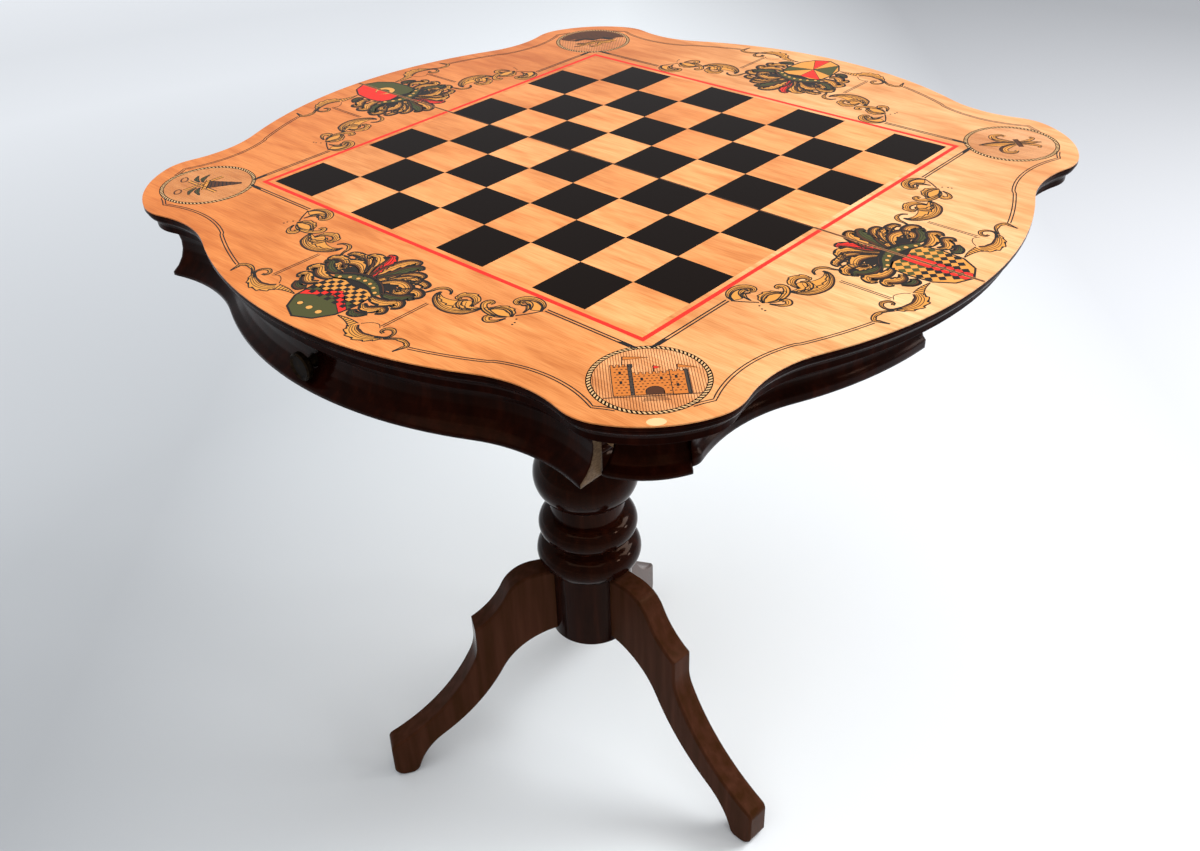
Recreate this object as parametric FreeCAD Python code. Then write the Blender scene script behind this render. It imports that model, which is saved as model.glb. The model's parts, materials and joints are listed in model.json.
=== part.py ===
import FreeCAD, Part
import math
import os
from FreeCAD import Vector

# Chess table with an inlaid folding top on a turned column and three sawn legs.
# Millimetres. +Z up, origin on the floor under the middle of the open top.
# +Y runs along the seam between the two leaves, and the drawer opens towards -X.

# ---------------------------------------------------------------- driving dimensions
table_height = 692.0        # floor to playing surface
square = 54.0               # one chess square
squares_per_side = 8

top_radius = 365.5          # the four broad bulges lie on one circle
lobe_setback = 48.0         # a corner lobe's centre lies this far inside that circle
lobe_radius = 103.5         # blunt outer arc of a corner lobe
lobe_half_angle = 23.0      # half the turn of that blunt arc, in degrees
shoulder_radius = 44.0      # tight arc either side of the blunt one
notch_radius = 104.0        # hollow arc between a shoulder and a bulge
cut_turn = 20.0             # moulded and turned arcs are made in straight cuts of this turn

leaf_thickness = 20.0
veneer = 1.0
lipping = 24.0              # width of the solid moulded edge round each leaf
fillet_drop = 3.0           # square upper lip of the moulded edge
fillet_step = 1.6           # and the step in under it
ovolo_in = 3.8              # foot of the round, from the outline
ovolo_drop = 10.0
ovolo_bow = 1.1
ovolo_step = 1.2            # second step in, between the round and the hollow
cove_in = 8.0               # foot of the hollow
cove_drop = 17.4
cove_bow = 1.0
seam_gap = 0.5
fold_rise = 0.25            # fold axis above the playing surface, so the closed leaves just miss

string_margin = 5.0         # light margin between the squares and the red line
string_width = 2.7
medallion_gap = 6.6         # medallion to the red line's corner
medallion_rim = 13.0        # medallion to the outline
rope_width = 4.0            # rope-edged ring round each medallion
patch_length = 13.0         # oval patch let into the rim beyond the front medallion
patch_width = 8.6
patch_margin = 5.0          # its centre to the outline

apron_height = 40.0
apron_inset = 27.0          # top outline to the apron's foot
apron_thickness = 24.0
front_cove = 14.0           # hollow of the drawer front and of the corner pieces
front_lip = 9.0             # how far their upper edge stands back from the foot
front_bead = 3.0            # height of their sharp lower edge
front_hang = 3.0            # how far they reach below the rest of the case
side_setback = 4.0          # side aprons' foot behind that of the front
side_cove = 4.3             # shallow hollow of the side aprons
side_lip = 1.6
side_bead = 7.0
side_cove_height = 16.0
corner_joint_angle = 49.0   # joint of corner and side apron, from the -X axis, in degrees
back_rail_thickness = 18.0
rail_setback = 18.0         # aprons and back rail end this far short of the seam
case_floor = 10.0
glue_block = 22.0

drawer_out = 20.0           # the drawer stands open by this much
drawer_front_thickness = 22.0
drawer_margin = 65.0        # end of the front to the outside of the drawer's side
drawer_side = 10.0
drawer_height = 27.0
drawer_floor = 3.0
drawer_floor_rise = 3.5
drawer_stop_depth = 6.0
drawer_stop_width = 30.0
knob_radius = 11.5
knob_thickness = 5.0
knob_bevel = 1.2
knob_rim = 3.0              # rim round the dished face
knob_dish = 1.2
knob_stem_radius = 5.0
knob_waist_radius = 3.5
knob_seat_depth = 1.0
knob_reach = 15.5           # knob's face in front of the hollow
knob_drop = 43.5            # knob's axis below the playing surface

guide_width = 12.0
guide_length = 217.0
loper_width = 20.0
loper_length = 230.0
loper_travel = 160.0
loper_pin_radius = 3.0
loper_pin_reach = 5.5
finger_radius = 9.0         # hollow under a loper's end to pull it by

column_x = -55.0            # the column stands under the fixed leaf, just short of the seam
cleat_length = 160.0
cleat_width = 120.0
cleat_thickness = 14.0
cleat_corner = 14.0
cleat_setback = 1.0         # cleat to the back rail's outer face
tenon_radius = 18.0
column_foot = 168.0         # floor to the column's underside
socket_radius = 45.0        # plain part that the legs meet
socket_height = 93.0
foot_round = 5.0
ring_height = 33.5
ring_gap = 3.0
lower_ring_radius = 56.0
upper_ring_radius = 52.5
bulb_seat_radius = 40.0     # slimmer part between the upper ring and the bulb
bulb_seat_height = 17.5
bulb_radius = 55.0
bulb_height = 61.0
bulb_belly = 0.44           # share of that height below its widest line
neck_radius = 30.0
bead_height = 10.0
bead_swell = 4.0
bead_stand = 5.0            # neck under the lower bead
vase_radius = 24.0          # slimmest line of the vase
vase_waist = 0.62           # share of its height below that line
collar_radius = 35.0
collar_height = 8.0
collar_flare = 22.0         # height of the sweep under the collar
collar_sweep = 3.0          # and its hollow

leg_count = 3
leg_thickness = 27.0
leg_reach = 244.0           # column axis to the toe
leg_joint_height = 82.0
leg_joint_rise = 11.0       # column's underside to the joint's lower end
leg_crest_reach = 62.0      # end of the level top
leg_shoulder_reach = 97.0   # where the shoulder turns from round to hollow
leg_shoulder_drop = 22.0
leg_knee_reach = 134.0
leg_knee_height = 199.5
leg_knee_drop = 24.0        # short upright face under the knee
leg_sweep_reach = 5.0       # the sharper start of the long sweep under it
leg_sweep_drop = 22.0
toe_height = 47.0
toe_nose = 9.0              # radii of its corners
toe_sole = 12.0
toe_back = 10.0
tread_length = 15.0
toe_back_slope = 78.0       # in degrees
heel_setback = 62.0         # toe to heel
heel_height = 52.0
leg_arch_reach = 107.0      # where the lower edge turns from hollow to round
leg_arch_drop = 33.0        # and how far that is under the column's underside
first_leg_angle = -93.0     # degrees from +X
leg_edge = 2.0              # softened edges
dowel_radius = 5.0
dowel_length = 36.0

hinge_spacing = 280.0
barrel_radius = 6.0
barrel_length = 14.0
barrel_drop = 9.5           # barrel axis below the playing surface
link_thickness = 3.0
link_height = 4.0
link_play = 1.4             # link's end to the end of its slot in the fixed leaf

screw_radius = 2.0
screw_head_radius = 4.0
screw_head_height = 2.4
screw_bite = 12.0           # thread's hold in the second board
cleat_screw_bite = 7.0      # and in the thin case floor

# ---------------------------------------------------------------- clearances
slide_gap = 0.5             # sliding wood on wood
lift_gap = 0.4              # drawer and lopers under the leaves
end_gap = 1.0               # each end of the drawer front
front_gap = 1.5             # closed drawer front to the case behind it
fit_gap = 0.05              # pin in its slot, screw head in its bore

# ---------------------------------------------------------------- levels and lines that follow
veneer_floor = table_height - veneer
leaf_floor = table_height - leaf_thickness
apron_foot = leaf_floor - apron_height
case_level = apron_foot + case_floor
column_top = apron_foot - cleat_thickness
lobe_distance = top_radius - lobe_setback
board_half = square * squares_per_side / 2
string_inner = board_half + string_margin
string_outer = string_inner + string_width
medallion_near = string_outer * math.sqrt(2) + medallion_gap
medallion_far = lobe_distance + lobe_radius - medallion_rim
medallion_radius = (medallion_far - medallion_near) / 2
medallion_centre = (medallion_far + medallion_near) / 2 / math.sqrt(2)
seam = seam_gap / 2
rail_rear = -rail_setback
rail_front = rail_rear - back_rail_thickness
front_foot = apron_foot - front_hang
shoulder_offset = lobe_radius - shoulder_radius
shoulder_turn = math.radians(45 - lobe_half_angle)
front_half = lobe_distance / math.sqrt(2) + shoulder_offset * math.sin(shoulder_turn)
drawer_back = rail_front - drawer_stop_depth
drawer_half = front_half - drawer_margin
guide_inner = drawer_half + slide_gap
loper_inner = guide_inner + guide_width + slide_gap
loper_outer = loper_inner + loper_width
guide_outer = loper_outer + slide_gap
loper_middle = 0.5 * (case_level + leaf_floor)
loper_end = rail_rear + loper_travel
pin_x = loper_end - loper_length + 4 * loper_pin_radius
cleat_x = rail_rear - cleat_setback - cleat_width
blend_inset = apron_inset + front_cove + 1.0    # where the moulded face meets its backing
big = 2 * top_radius


def polar(radius, degrees, z=0.0):
    a = math.radians(degrees)
    return Vector(radius * math.cos(a), radius * math.sin(a), z)


def box(x0, x1, y0, y1, z0, z1):
    return Part.makeBox(x1 - x0, y1 - y0, z1 - z0, Vector(x0, y0, z0))


def on_side(side, inner, outer):
    """The Y limits of a strip that lies between two distances from the middle line."""
    return sorted((side * inner, side * outer))


def drawn(points):
    """Closed wire through points. A point is a vector, or a pair (middle, end) for an arc."""
    edges = []
    last = None
    for p in points:
        here = p[1] if isinstance(p, tuple) else p
        if last is not None and isinstance(p, tuple):
            edges.append(Part.Arc(last, p[0], here).toShape())
        elif last is not None:
            edges.append(Part.LineSegment(last, here).toShape())
        last = here
    edges.append(Part.LineSegment(last, points[0]).toShape())
    return Part.Wire(edges)


def prism(wire, height):
    return Part.Face(wire).extrude(Vector(0, 0, height))


def bowed(start, end, rise):
    """Arc of a profile, as a pair (middle, end), that rises to the left of its travel."""
    chord = end - start
    left = Vector(-chord.z, 0, chord.x).normalize()
    return ((start + end) * 0.5 + left * rise, end)


def cuts(start, middle, end):
    """Points along an arc that stand for it in turned and moulded work."""
    arc = Part.Arc(start, middle, end)
    turn = math.degrees(arc.LastParameter - arc.FirstParameter)
    return arc.toShape().discretize(math.ceil(turn / cut_turn) + 1)[1:]


def moulding(points):
    """Closed profile like drawn(), with every arc in straight cuts so that the model stays light."""
    path = []
    for p in points:
        path += cuts(path[-1], *p) if isinstance(p, tuple) else [p]
    return drawn(path)


def lathe(points):
    """Solid turned about the Z axis from points in the XZ plane."""
    return Part.Face(moulding(points)).revolve(Vector(0, 0, 0), Vector(0, 0, 1), 360)


def at(radius, height):
    return Vector(radius, 0, height)


def mirror_y(shape):
    return shape.mirror(Vector(0, 0, 0), Vector(0, 1, 0))


# ---------------------------------------------------------------- the top's outline
def corner_centres():
    """Centres of the lobe, shoulder and notch arcs below the first diagonal."""
    lobe = polar(lobe_distance, 45)
    shoulder = lobe + polar(shoulder_offset, 45 - lobe_half_angle)
    to_notch = top_radius + notch_radius
    between = shoulder_radius + notch_radius
    reach = shoulder.Length
    cosine = (to_notch ** 2 + reach ** 2 - between ** 2) / (2 * to_notch * reach)
    turn = math.degrees(math.atan2(shoulder.y, shoulder.x) - math.acos(cosine))
    return lobe, shoulder, polar(to_notch, turn)


def notch_angle():
    notch = corner_centres()[2]
    return math.degrees(math.atan2(notch.y, notch.x))


def outline(inset, z):
    """Closed wire of tangent arcs: four bulges on one circle, four corner lobes with
    tight shoulders, and a hollow between each. An inset keeps every arc's centre."""
    lobe, shoulder, notch = corner_centres()

    def across(p):
        return Vector(p.y, p.x, 0)

    origin = Vector(0, 0, 0)
    toward = (notch - shoulder).normalize()
    bulge_start = polar(top_radius - inset, 0)
    bulge_end = polar(top_radius - inset, notch_angle())
    notch_end = shoulder + toward * (shoulder_radius - inset)
    lobe_end = lobe + polar(lobe_radius - inset, 45 - lobe_half_angle)
    pieces = [
        (bulge_start, bulge_end, origin),
        (bulge_end, notch_end, notch),
        (notch_end, lobe_end, shoulder),
        (lobe_end, across(lobe_end), lobe),
        (across(lobe_end), across(notch_end), across(shoulder)),
        (across(notch_end), across(bulge_end), across(notch)),
        (across(bulge_end), across(bulge_start), origin),
    ]
    edges = []
    for quarter in range(4):
        turn = FreeCAD.Rotation(Vector(0, 0, 1), 90 * quarter)
        for start, end, centre in pieces:
            radius = (start - centre).Length
            middle = centre + ((start + end) * 0.5 - centre).normalize() * radius
            corners = [turn.multVec(p) + Vector(0, 0, z) for p in (start, middle, end)]
            edges.append(Part.Arc(*corners).toShape())
    return Part.Wire(edges)


def plate(inset, z0, z1):
    """Board of the top's plan shape."""
    return prism(outline(inset, z0), z1 - z0)


def below(inset, drop):
    """Point of an edge profile: in from the outline and down from the playing surface."""
    return Vector(top_radius - inset, 0, table_height - drop)


def band(profile):
    """Ring of one cross-section carried round the outline."""
    return outline(0, table_height).makePipeShell([moulding(profile)], True, False)


def near_side(shape):
    return shape.common(box(-big, -seam, -big, big, -big, 2 * big))


def far_side(shape):
    return shape.common(box(seam, big, -big, big, -big, 2 * big))


def half(side, shape):
    return near_side(shape) if side < 0 else far_side(shape)


# ---------------------------------------------------------------- the two leaves
def leaf_edge_ring():
    """Moulded lipping: a lip, a round, a step and a hollow, stepping in as it goes down."""
    lip_foot = veneer + fillet_drop
    round_top = below(fillet_step, lip_foot)
    hollow_top = below(ovolo_in + ovolo_step, ovolo_drop)
    return band([
        below(lipping, veneer),
        below(0, veneer),
        below(0, lip_foot),
        round_top,
        bowed(round_top, below(ovolo_in, ovolo_drop), ovolo_bow),
        hollow_top,
        bowed(hollow_top, below(cove_in, cove_drop), -cove_bow),
        below(cove_in, leaf_thickness),
        below(lipping, leaf_thickness),
    ])


def hinge_places():
    return [-hinge_spacing, 0.0, hinge_spacing]


def barrel_bore(y, side):
    start = Vector(side * seam, y, table_height - barrel_drop)
    return Part.makeCylinder(barrel_radius, barrel_length, start, Vector(side, 0, 0))


def barrel(y, side):
    """Half of a concealed barrel hinge: a brass cylinder let into the leaf's meeting edge,
    slotted at its mouth for the link. side is -1 on the fixed leaf and +1 on the folding one."""
    slot_half = link_thickness / 2 + fit_gap
    x0, x1 = on_side(side, seam, seam + barrel_length / 2)
    slot = box(x0, x1, y - slot_half, y + slot_half, leaf_floor, table_height)
    return barrel_bore(y, side).cut(slot)


def link(y):
    """Link leaf that crosses the seam inside both slots and turns with the folding leaf."""
    middle = table_height - barrel_drop
    return box(link_play - seam - barrel_length / 2, seam + barrel_length / 2,
               y - link_thickness / 2, y + link_thickness / 2,
               middle - link_height / 2, middle + link_height / 2)


def leaf_core(side):
    core = half(side, plate(lipping, leaf_floor, veneer_floor))
    for y in hinge_places():
        core = core.cut(barrel_bore(y, side))
    if side < 0:
        core = core.cut(top_screws())
    return core


def disc(radius, place):
    return Part.makeCylinder(radius, veneer, place)


def medallion_places(side):
    reach = medallion_centre
    return [Vector(side * reach, y, veneer_floor) for y in (-reach, reach)]


def frame_sheet(outer, inner):
    """Square sheet of veneer with a square hole."""
    sheet = box(-outer, outer, -outer, outer, veneer_floor, table_height)
    return sheet.cut(box(-inner, inner, -inner, inner, veneer_floor, table_height))


def field_veneer(side):
    """Figured sheet round the board, and the narrow margin inside the red line."""
    field = plate(0, veneer_floor, table_height)
    field = field.cut(box(-string_outer, string_outer, -string_outer, string_outer, 0, table_height))
    for place in medallion_places(side):
        field = field.cut(disc(medallion_radius, place))
    if side < 0:
        field = field.cut(rim_patch())
    margin = frame_sheet(string_inner, board_half)
    return Part.Compound([half(side, field), half(side, margin)])


def red_string(side):
    return half(side, frame_sheet(string_outer, string_inner))


def chess_squares(side, dark):
    """The squares of one leaf and one colour; the corner at -X, -Y is light."""
    count = squares_per_side // 2
    rows = range(-count, 0) if side < 0 else range(0, count)
    pieces = []
    for i in rows:
        for j in range(-count, count):
            if ((i + j) % 2 == 1) == dark:
                cell = box(i * square, (i + 1) * square, j * square, (j + 1) * square,
                           veneer_floor, table_height)
                pieces.append(half(side, cell))
    return Part.Compound(pieces)


def rope_rings(side):
    inner = medallion_radius - rope_width
    return Part.Compound([disc(medallion_radius, p).cut(disc(inner, p)) for p in medallion_places(side)])


def medallions(side):
    return Part.Compound([disc(medallion_radius - rope_width, p) for p in medallion_places(side)])


def rim_patch():
    """Oval patch of paler veneer, its long way along the rim."""
    oval = Part.Ellipse(Vector(0, 0, 0), patch_length / 2, patch_width / 2).toShape()
    patch = prism(Part.Wire([oval]), veneer)
    patch.rotate(Vector(0, 0, 0), Vector(0, 0, 1), -45)
    patch.translate(polar(lobe_distance + lobe_radius - patch_margin, 225, veneer_floor))
    return patch


# ---------------------------------------------------------------- the apron and its case
def moulded_block(profile, foot, top):
    """Solid block of the apron's plan, with a moulded face carried round it."""
    face = band([below(blend_inset + 1, foot)] + profile + [below(blend_inset + 1, top)])
    return face.fuse(plate(blend_inset, table_height - foot, table_height - top))


def front_block(top):
    """Deep hollow face with a sharp foot, for the drawer front and the corner pieces."""
    foot = leaf_thickness + apron_height + front_hang
    middle = 0.5 * (top + foot)
    hollow = (below(apron_inset + front_cove, middle), below(apron_inset + front_lip, top))
    profile = [below(apron_inset, foot), below(apron_inset, foot - front_bead), hollow]
    return moulded_block(profile, foot, top)


def side_block():
    """Bead, shallow hollow and plain upper part, for the side aprons."""
    foot = leaf_thickness + apron_height
    face = apron_inset + side_setback
    bead = foot - side_bead
    middle = bead - side_cove_height / 2
    hollow = (below(face + side_cove, middle), below(face + side_lip, bead - side_cove_height))
    profile = [below(face, foot), below(face, bead), hollow, below(face + side_lip, leaf_thickness)]
    return moulded_block(profile, foot, leaf_thickness)


def case_round(z0, z1):
    """Space inside the aprons: one big circle with a smaller one in each corner lobe."""
    back = apron_inset + apron_thickness
    room = Part.makeCylinder(top_radius - back, z1 - z0, Vector(0, 0, z0))
    for turn in (135, 225):
        centre = polar(lobe_distance, turn, z0)
        room = room.fuse(Part.makeCylinder(lobe_radius - back, z1 - z0, centre))
    return room


def behind_front(gap, z0, z1):
    """Space behind the closed drawer front: its back follows the bulge, and the
    hollow either side of it runs on to the front's ends."""
    deep = apron_inset + drawer_front_thickness + gap
    bulge = top_radius - deep
    turn = notch_angle()
    notch = corner_centres()[2]
    centre = Vector(-notch.x, notch.y, z0)
    hollow = notch_radius + deep
    reach = front_half + end_gap
    end_x = centre.x + math.sqrt(hollow ** 2 - (reach - notch.y) ** 2)
    tangent = polar(bulge, 180 - turn, z0)
    end = Vector(end_x, reach, z0)
    middle = centre + ((tangent + end) * 0.5 - centre).normalize() * hollow

    def down(p):
        return Vector(p.x, -p.y, p.z)

    return prism(drawn([
        Vector(0, -reach, z0), down(end), (down(middle), down(tangent)),
        (Vector(-bulge, 0, z0), tangent), (middle, end), Vector(0, reach, z0),
    ]), z1 - z0)


def case_space(z0, z1):
    """Space that the case's inner pieces may fill with the drawer shut."""
    middle = behind_front(front_gap, z0, z1)
    room = case_round(z0, z1)
    reach = front_half + end_gap
    corners = [room.common(box(-big, 0, *on_side(s, reach, big), z0, z1)) for s in (-1, 1)]
    return room.common(middle).fuse(corners)


def wedge(angle0, angle1):
    """Upright wedge of space about the table's middle line."""
    steps = 5
    points = [polar(big, angle0 + (angle1 - angle0) * k / (steps - 1)) for k in range(steps)]
    return prism(drawn([Vector(0, 0, 0)] + points), table_height)


def apron_side():
    """Right-hand side apron, from its joint with the corner to the seam."""
    piece = side_block().common(wedge(180 + corner_joint_angle, 271))
    piece = piece.common(box(-big, rail_rear, -big, 0, 0, table_height))
    return piece.cut(case_round(apron_foot, leaf_floor))


def apron_corner():
    piece = front_block(leaf_thickness).common(wedge(180, 180 + corner_joint_angle))
    piece = piece.common(box(-big, 0, -big, -front_half - end_gap, 0, table_height))
    return piece.cut(case_round(front_foot, leaf_floor))


def back_rail():
    """Rail at the seam side, notched for the two lopers."""
    rail = case_round(apron_foot, leaf_floor)
    rail = rail.common(box(rail_front, rail_rear, -big, big, 0, table_height))
    for side in (-1, 1):
        limits = on_side(side, loper_inner - slide_gap, loper_outer + slide_gap)
        rail = rail.cut(box(-big, big, *limits, case_level, table_height))
    return rail


def case_bottom():
    board = case_space(apron_foot, case_level)
    board = board.common(box(-big, rail_front, -big, big, 0, table_height))
    return board.cut(cleat_screws()).cut(top_screw_bores())


def guide(side, inner):
    """Straight strip on the case floor, alongside the drawer or a loper."""
    limits = on_side(side, inner, inner + guide_width)
    return box(rail_front - guide_length, rail_front, *limits, case_level, leaf_floor)


def loper_slot(side):
    """Slot in the outer guide that ends the loper's travel both ways."""
    room = loper_pin_radius + fit_gap
    limits = on_side(side, guide_outer, guide_outer + loper_pin_reach + slide_gap)
    return box(pin_x - loper_travel - room, pin_x + room, *limits, loper_middle - room, loper_middle + room)


def apron_inside(x):
    """Distance from the middle line to the aprons' inner face, level with x."""
    back = apron_inset + apron_thickness
    bulge = math.sqrt((top_radius - back) ** 2 - x ** 2)
    lobe = polar(lobe_distance, 135)
    corner = (lobe_radius - back) ** 2 - (x - lobe.x) ** 2
    return max(bulge, lobe.y + math.sqrt(corner)) if corner > 0 else bulge


def glue_block_places():
    """The middle of each block's length, and the side of it that faces the middle line: by the
    back rail, and beside the loper guide near the joint of the aprons."""
    by_rail = rail_front - glue_block / 2
    by_joint = polar(top_radius - apron_inset, 180 - corner_joint_angle).x + glue_block
    return [(by_rail, apron_inside(by_rail) - 1.2 * glue_block), (by_joint, guide_outer + guide_width)]


def glue_block_solid(side, x, y):
    limits = on_side(side, y, y + 2 * glue_block)
    block = box(x - glue_block / 2, x + glue_block / 2, *limits, case_level, leaf_floor)
    return block.common(case_round(case_level, leaf_floor))


def glue_blocks():
    blocks = []
    for side in (-1, 1):
        for x, y in glue_block_places():
            blocks.append(glue_block_solid(side, x, y).cut(top_screws()).cut(top_screw_bores()))
    return Part.Compound(blocks)


def top_screw_heads():
    """Where the leaf's screws stand: in the middle of each glue block."""
    level = leaf_floor - screw_bite
    return [Vector(x, side * (y + apron_inside(x)) / 2, level)
            for side in (-1, 1) for x, y in glue_block_places()]


def screw(head_place, length):
    """Countersunk screw pointing up, with its head's face at the given place."""
    head = Part.makeCone(screw_head_radius, screw_radius, screw_head_height, head_place)
    return head.fuse(Part.makeCylinder(screw_radius, length, head_place))


def top_screws():
    """Screws through the glue blocks into the fixed leaf."""
    return Part.Compound([screw(place, 2 * screw_bite) for place in top_screw_heads()])


def top_screw_bores():
    """Bores from below for the screws' heads."""
    radius = screw_head_radius + fit_gap
    bores = []
    for place in top_screw_heads():
        start = Vector(place.x, place.y, apron_foot)
        bores.append(Part.makeCylinder(radius, place.z - apron_foot, start))
    return Part.Compound(bores)


def drawer_stops():
    """Two blocks on the back rail that the shut drawer meets."""
    stops = []
    for side in (-1, 1):
        limits = on_side(side, drawer_half / 2, drawer_half / 2 + drawer_stop_width)
        stops.append(box(drawer_back, rail_front, *limits, case_level, case_level + drawer_height / 2))
    return Part.Compound(stops)


# ---------------------------------------------------------------- the drawer
def opened(shape):
    shape.translate(Vector(-drawer_out, 0, 0))
    return shape


def drawer_front():
    front = front_block(leaf_thickness + lift_gap)
    front = front.common(box(-big, 0, -front_half, front_half, 0, table_height))
    front = front.cut(behind_front(0, front_foot, table_height))
    return opened(front).cut(knob_seat()).cut(knob_screw())


def drawer_board(x1, y0, y1, z0, z1):
    """Board of the drawer that runs forward to the back of its front."""
    board = box(-big, x1, y0, y1, z0, z1)
    return board.common(behind_front(0, apron_foot, table_height))


def floor_level():
    return case_level + slide_gap + drawer_floor_rise


def drawer_bottom():
    """Thin floor, let into grooves half the sides' thickness deep."""
    reach = drawer_half - drawer_side / 2
    end = drawer_back - drawer_side / 2
    return opened(drawer_board(end, -reach, reach, floor_level(), floor_level() + drawer_floor))


def drawer_side_board(side):
    level = case_level + slide_gap
    limits = on_side(side, drawer_half - drawer_side, drawer_half)
    board = opened(drawer_board(drawer_back, *limits, level, level + drawer_height))
    return board.cut(drawer_bottom())


def drawer_back_board():
    level = case_level + slide_gap
    reach = drawer_half - drawer_side
    board = box(drawer_back - drawer_side, drawer_back, -reach, reach, level, level + drawer_height)
    return opened(board).cut(drawer_bottom())


def hollow_x():
    """Deepest plane of the drawer front's hollow on the middle line, as it stands open."""
    return -(top_radius - apron_inset - front_cove) - drawer_out


def knob_axis(x):
    return Vector(x, 0, table_height - knob_drop)


def knob_seat():
    """Flat spot bored through the hollow so that the knob's stem sits square."""
    start = knob_axis(hollow_x() + 1)
    return Part.makeCylinder(knob_stem_radius + fit_gap, front_cove, start, Vector(-1, 0, 0))


def knob():
    """Turned brass knob: a waisted stem, and a disc head with a rounded rim and a shallow dish."""
    back = knob_reach - knob_thickness
    solid = lathe([
        at(0, -knob_seat_depth),
        at(knob_stem_radius, -knob_seat_depth),
        at(knob_waist_radius, 0.5 * back),
        at(knob_radius, back),
        at(knob_radius, knob_reach - knob_bevel),
        at(knob_radius - knob_bevel, knob_reach),
        at(knob_radius - knob_rim, knob_reach - knob_dish),
        at(0, knob_reach - knob_dish),
    ])
    solid.rotate(Vector(0, 0, 0), Vector(0, 1, 0), -90)
    solid.translate(knob_axis(hollow_x()))
    return solid.cut(knob_screw())


def knob_screw():
    """Screw from inside the drawer through its front into the knob."""
    inside = -(top_radius - apron_inset - drawer_front_thickness) - drawer_out
    start = knob_axis(inside)
    grip = inside - hollow_x() + knob_reach / 2
    head = Part.makeCone(screw_head_radius, screw_radius, screw_head_height, start, Vector(-1, 0, 0))
    return head.fuse(Part.makeCylinder(screw_radius, grip, start, Vector(-1, 0, 0)))


# ---------------------------------------------------------------- the lopers
def loper_pin(side):
    """Peg through a loper's side into the outer guide's slot."""
    start = Vector(pin_x, side * (loper_outer - loper_width / 2), loper_middle)
    length = loper_width / 2 + slide_gap + loper_pin_reach
    return Part.makeCylinder(loper_pin_radius, length, start, Vector(0, side, 0))


def loper(side):
    """Pull-out bar under the folding leaf, with a finger hollow under its end."""
    limits = on_side(side, loper_inner, loper_outer)
    level = case_level + slide_gap
    bar = box(loper_end - loper_length, loper_end, *limits, level, leaf_floor - lift_gap)
    start = Vector(loper_end - 2 * finger_radius, limits[0], level - 0.4 * finger_radius)
    finger = Part.makeCylinder(finger_radius, loper_width, start, Vector(0, 1, 0))
    return bar.cut(finger).cut(loper_pin(side))


# ---------------------------------------------------------------- the pedestal
def column_tenon():
    return Part.makeCylinder(tenon_radius, cleat_thickness, Vector(column_x, 0, column_top))


def column_cleat():
    half_length = cleat_length / 2
    board = box(cleat_x, cleat_x + cleat_width, -half_length, half_length, column_top, apron_foot)
    upright = [e for e in board.Edges if abs(e.BoundBox.ZLength - cleat_thickness) < 0.01]
    board = board.makeFillet(cleat_corner, upright)
    return board.cut(cleat_screws()).cut(column_tenon())


def cleat_screws():
    """Screws up through the cleat's corners into the case floor."""
    length = cleat_thickness + cleat_screw_bite
    near = cleat_x + cleat_corner
    far = min(cleat_x + cleat_width - cleat_corner, rail_front - 2 * screw_head_radius)
    reach = cleat_length / 2 - cleat_corner
    places = [Vector(x, y, column_top) for x in (near, far) for y in (-reach, reach)]
    return Part.Compound([screw(place, length) for place in places])


def column():
    """Turned baluster: plain socket for the legs, two thick rings, a flattened bulb, and a
    slim vase between two beads, flared to a collar under the cleat."""
    shoulder = column_foot + socket_height
    waist = shoulder + ring_height + ring_gap
    rings_top = waist + ring_height
    bulb_foot = rings_top + bulb_seat_height
    bulb_top = bulb_foot + bulb_height
    bead_foot = bulb_top + bead_stand
    vase_foot = bead_foot + bead_height
    collar = column_top - collar_height
    flare_foot = collar - collar_flare
    vase_top = flare_foot - bead_height
    vase_slimmest = vase_foot + vase_waist * (vase_top - vase_foot)
    vase_mouth = vase_radius + bead_swell
    solid = lathe([
        at(0, column_foot),
        at(socket_radius - foot_round, column_foot),
        at(socket_radius, column_foot + foot_round),
        at(socket_radius, shoulder),
        (at(lower_ring_radius, shoulder + ring_height / 2), at(socket_radius, shoulder + ring_height)),
        at(socket_radius - ring_gap, waist),
        (at(upper_ring_radius, waist + ring_height / 2), at(bulb_seat_radius, rings_top)),
        at(bulb_seat_radius, bulb_foot),
        (at(bulb_radius, bulb_foot + bulb_belly * bulb_height), at(neck_radius + bead_swell, bulb_top)),
        at(neck_radius, bead_foot),
        at(neck_radius + bead_swell, bead_foot + bead_height / 2),
        at(neck_radius, vase_foot),
        (at(vase_radius, vase_slimmest), at(vase_mouth, vase_top)),
        at(vase_mouth + bead_swell, vase_top + bead_height / 2),
        at(vase_mouth, flare_foot),
        bowed(at(vase_mouth, flare_foot), at(collar_radius, collar), collar_sweep),
        at(collar_radius, column_top),
        at(tenon_radius, column_top),
        at(tenon_radius, apron_foot),
        at(0, apron_foot),
    ])
    solid.translate(Vector(column_x, 0, 0))
    return solid.cut(leg_dowels())


def flowing(start, degrees, ends):
    """Arcs in an XZ plane, as pairs (middle, end). The first leaves start at the given angle
    above +X, and each later one leaves in the direction in which the one before arrived."""
    heading = math.radians(degrees)
    arcs = []
    for end in ends:
        chord = end - start
        angle = math.atan2(chord.z, chord.x)
        bend = math.remainder(angle - heading, 2 * math.pi)
        sagitta = chord.Length / 2 * math.tan(bend / 2)
        bulge = Vector(math.sin(angle), 0, -math.cos(angle)) * sagitta
        arcs.append(((start + end) * 0.5 + bulge, end))
        heading += 2 * bend
        start = end
    return arcs


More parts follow.
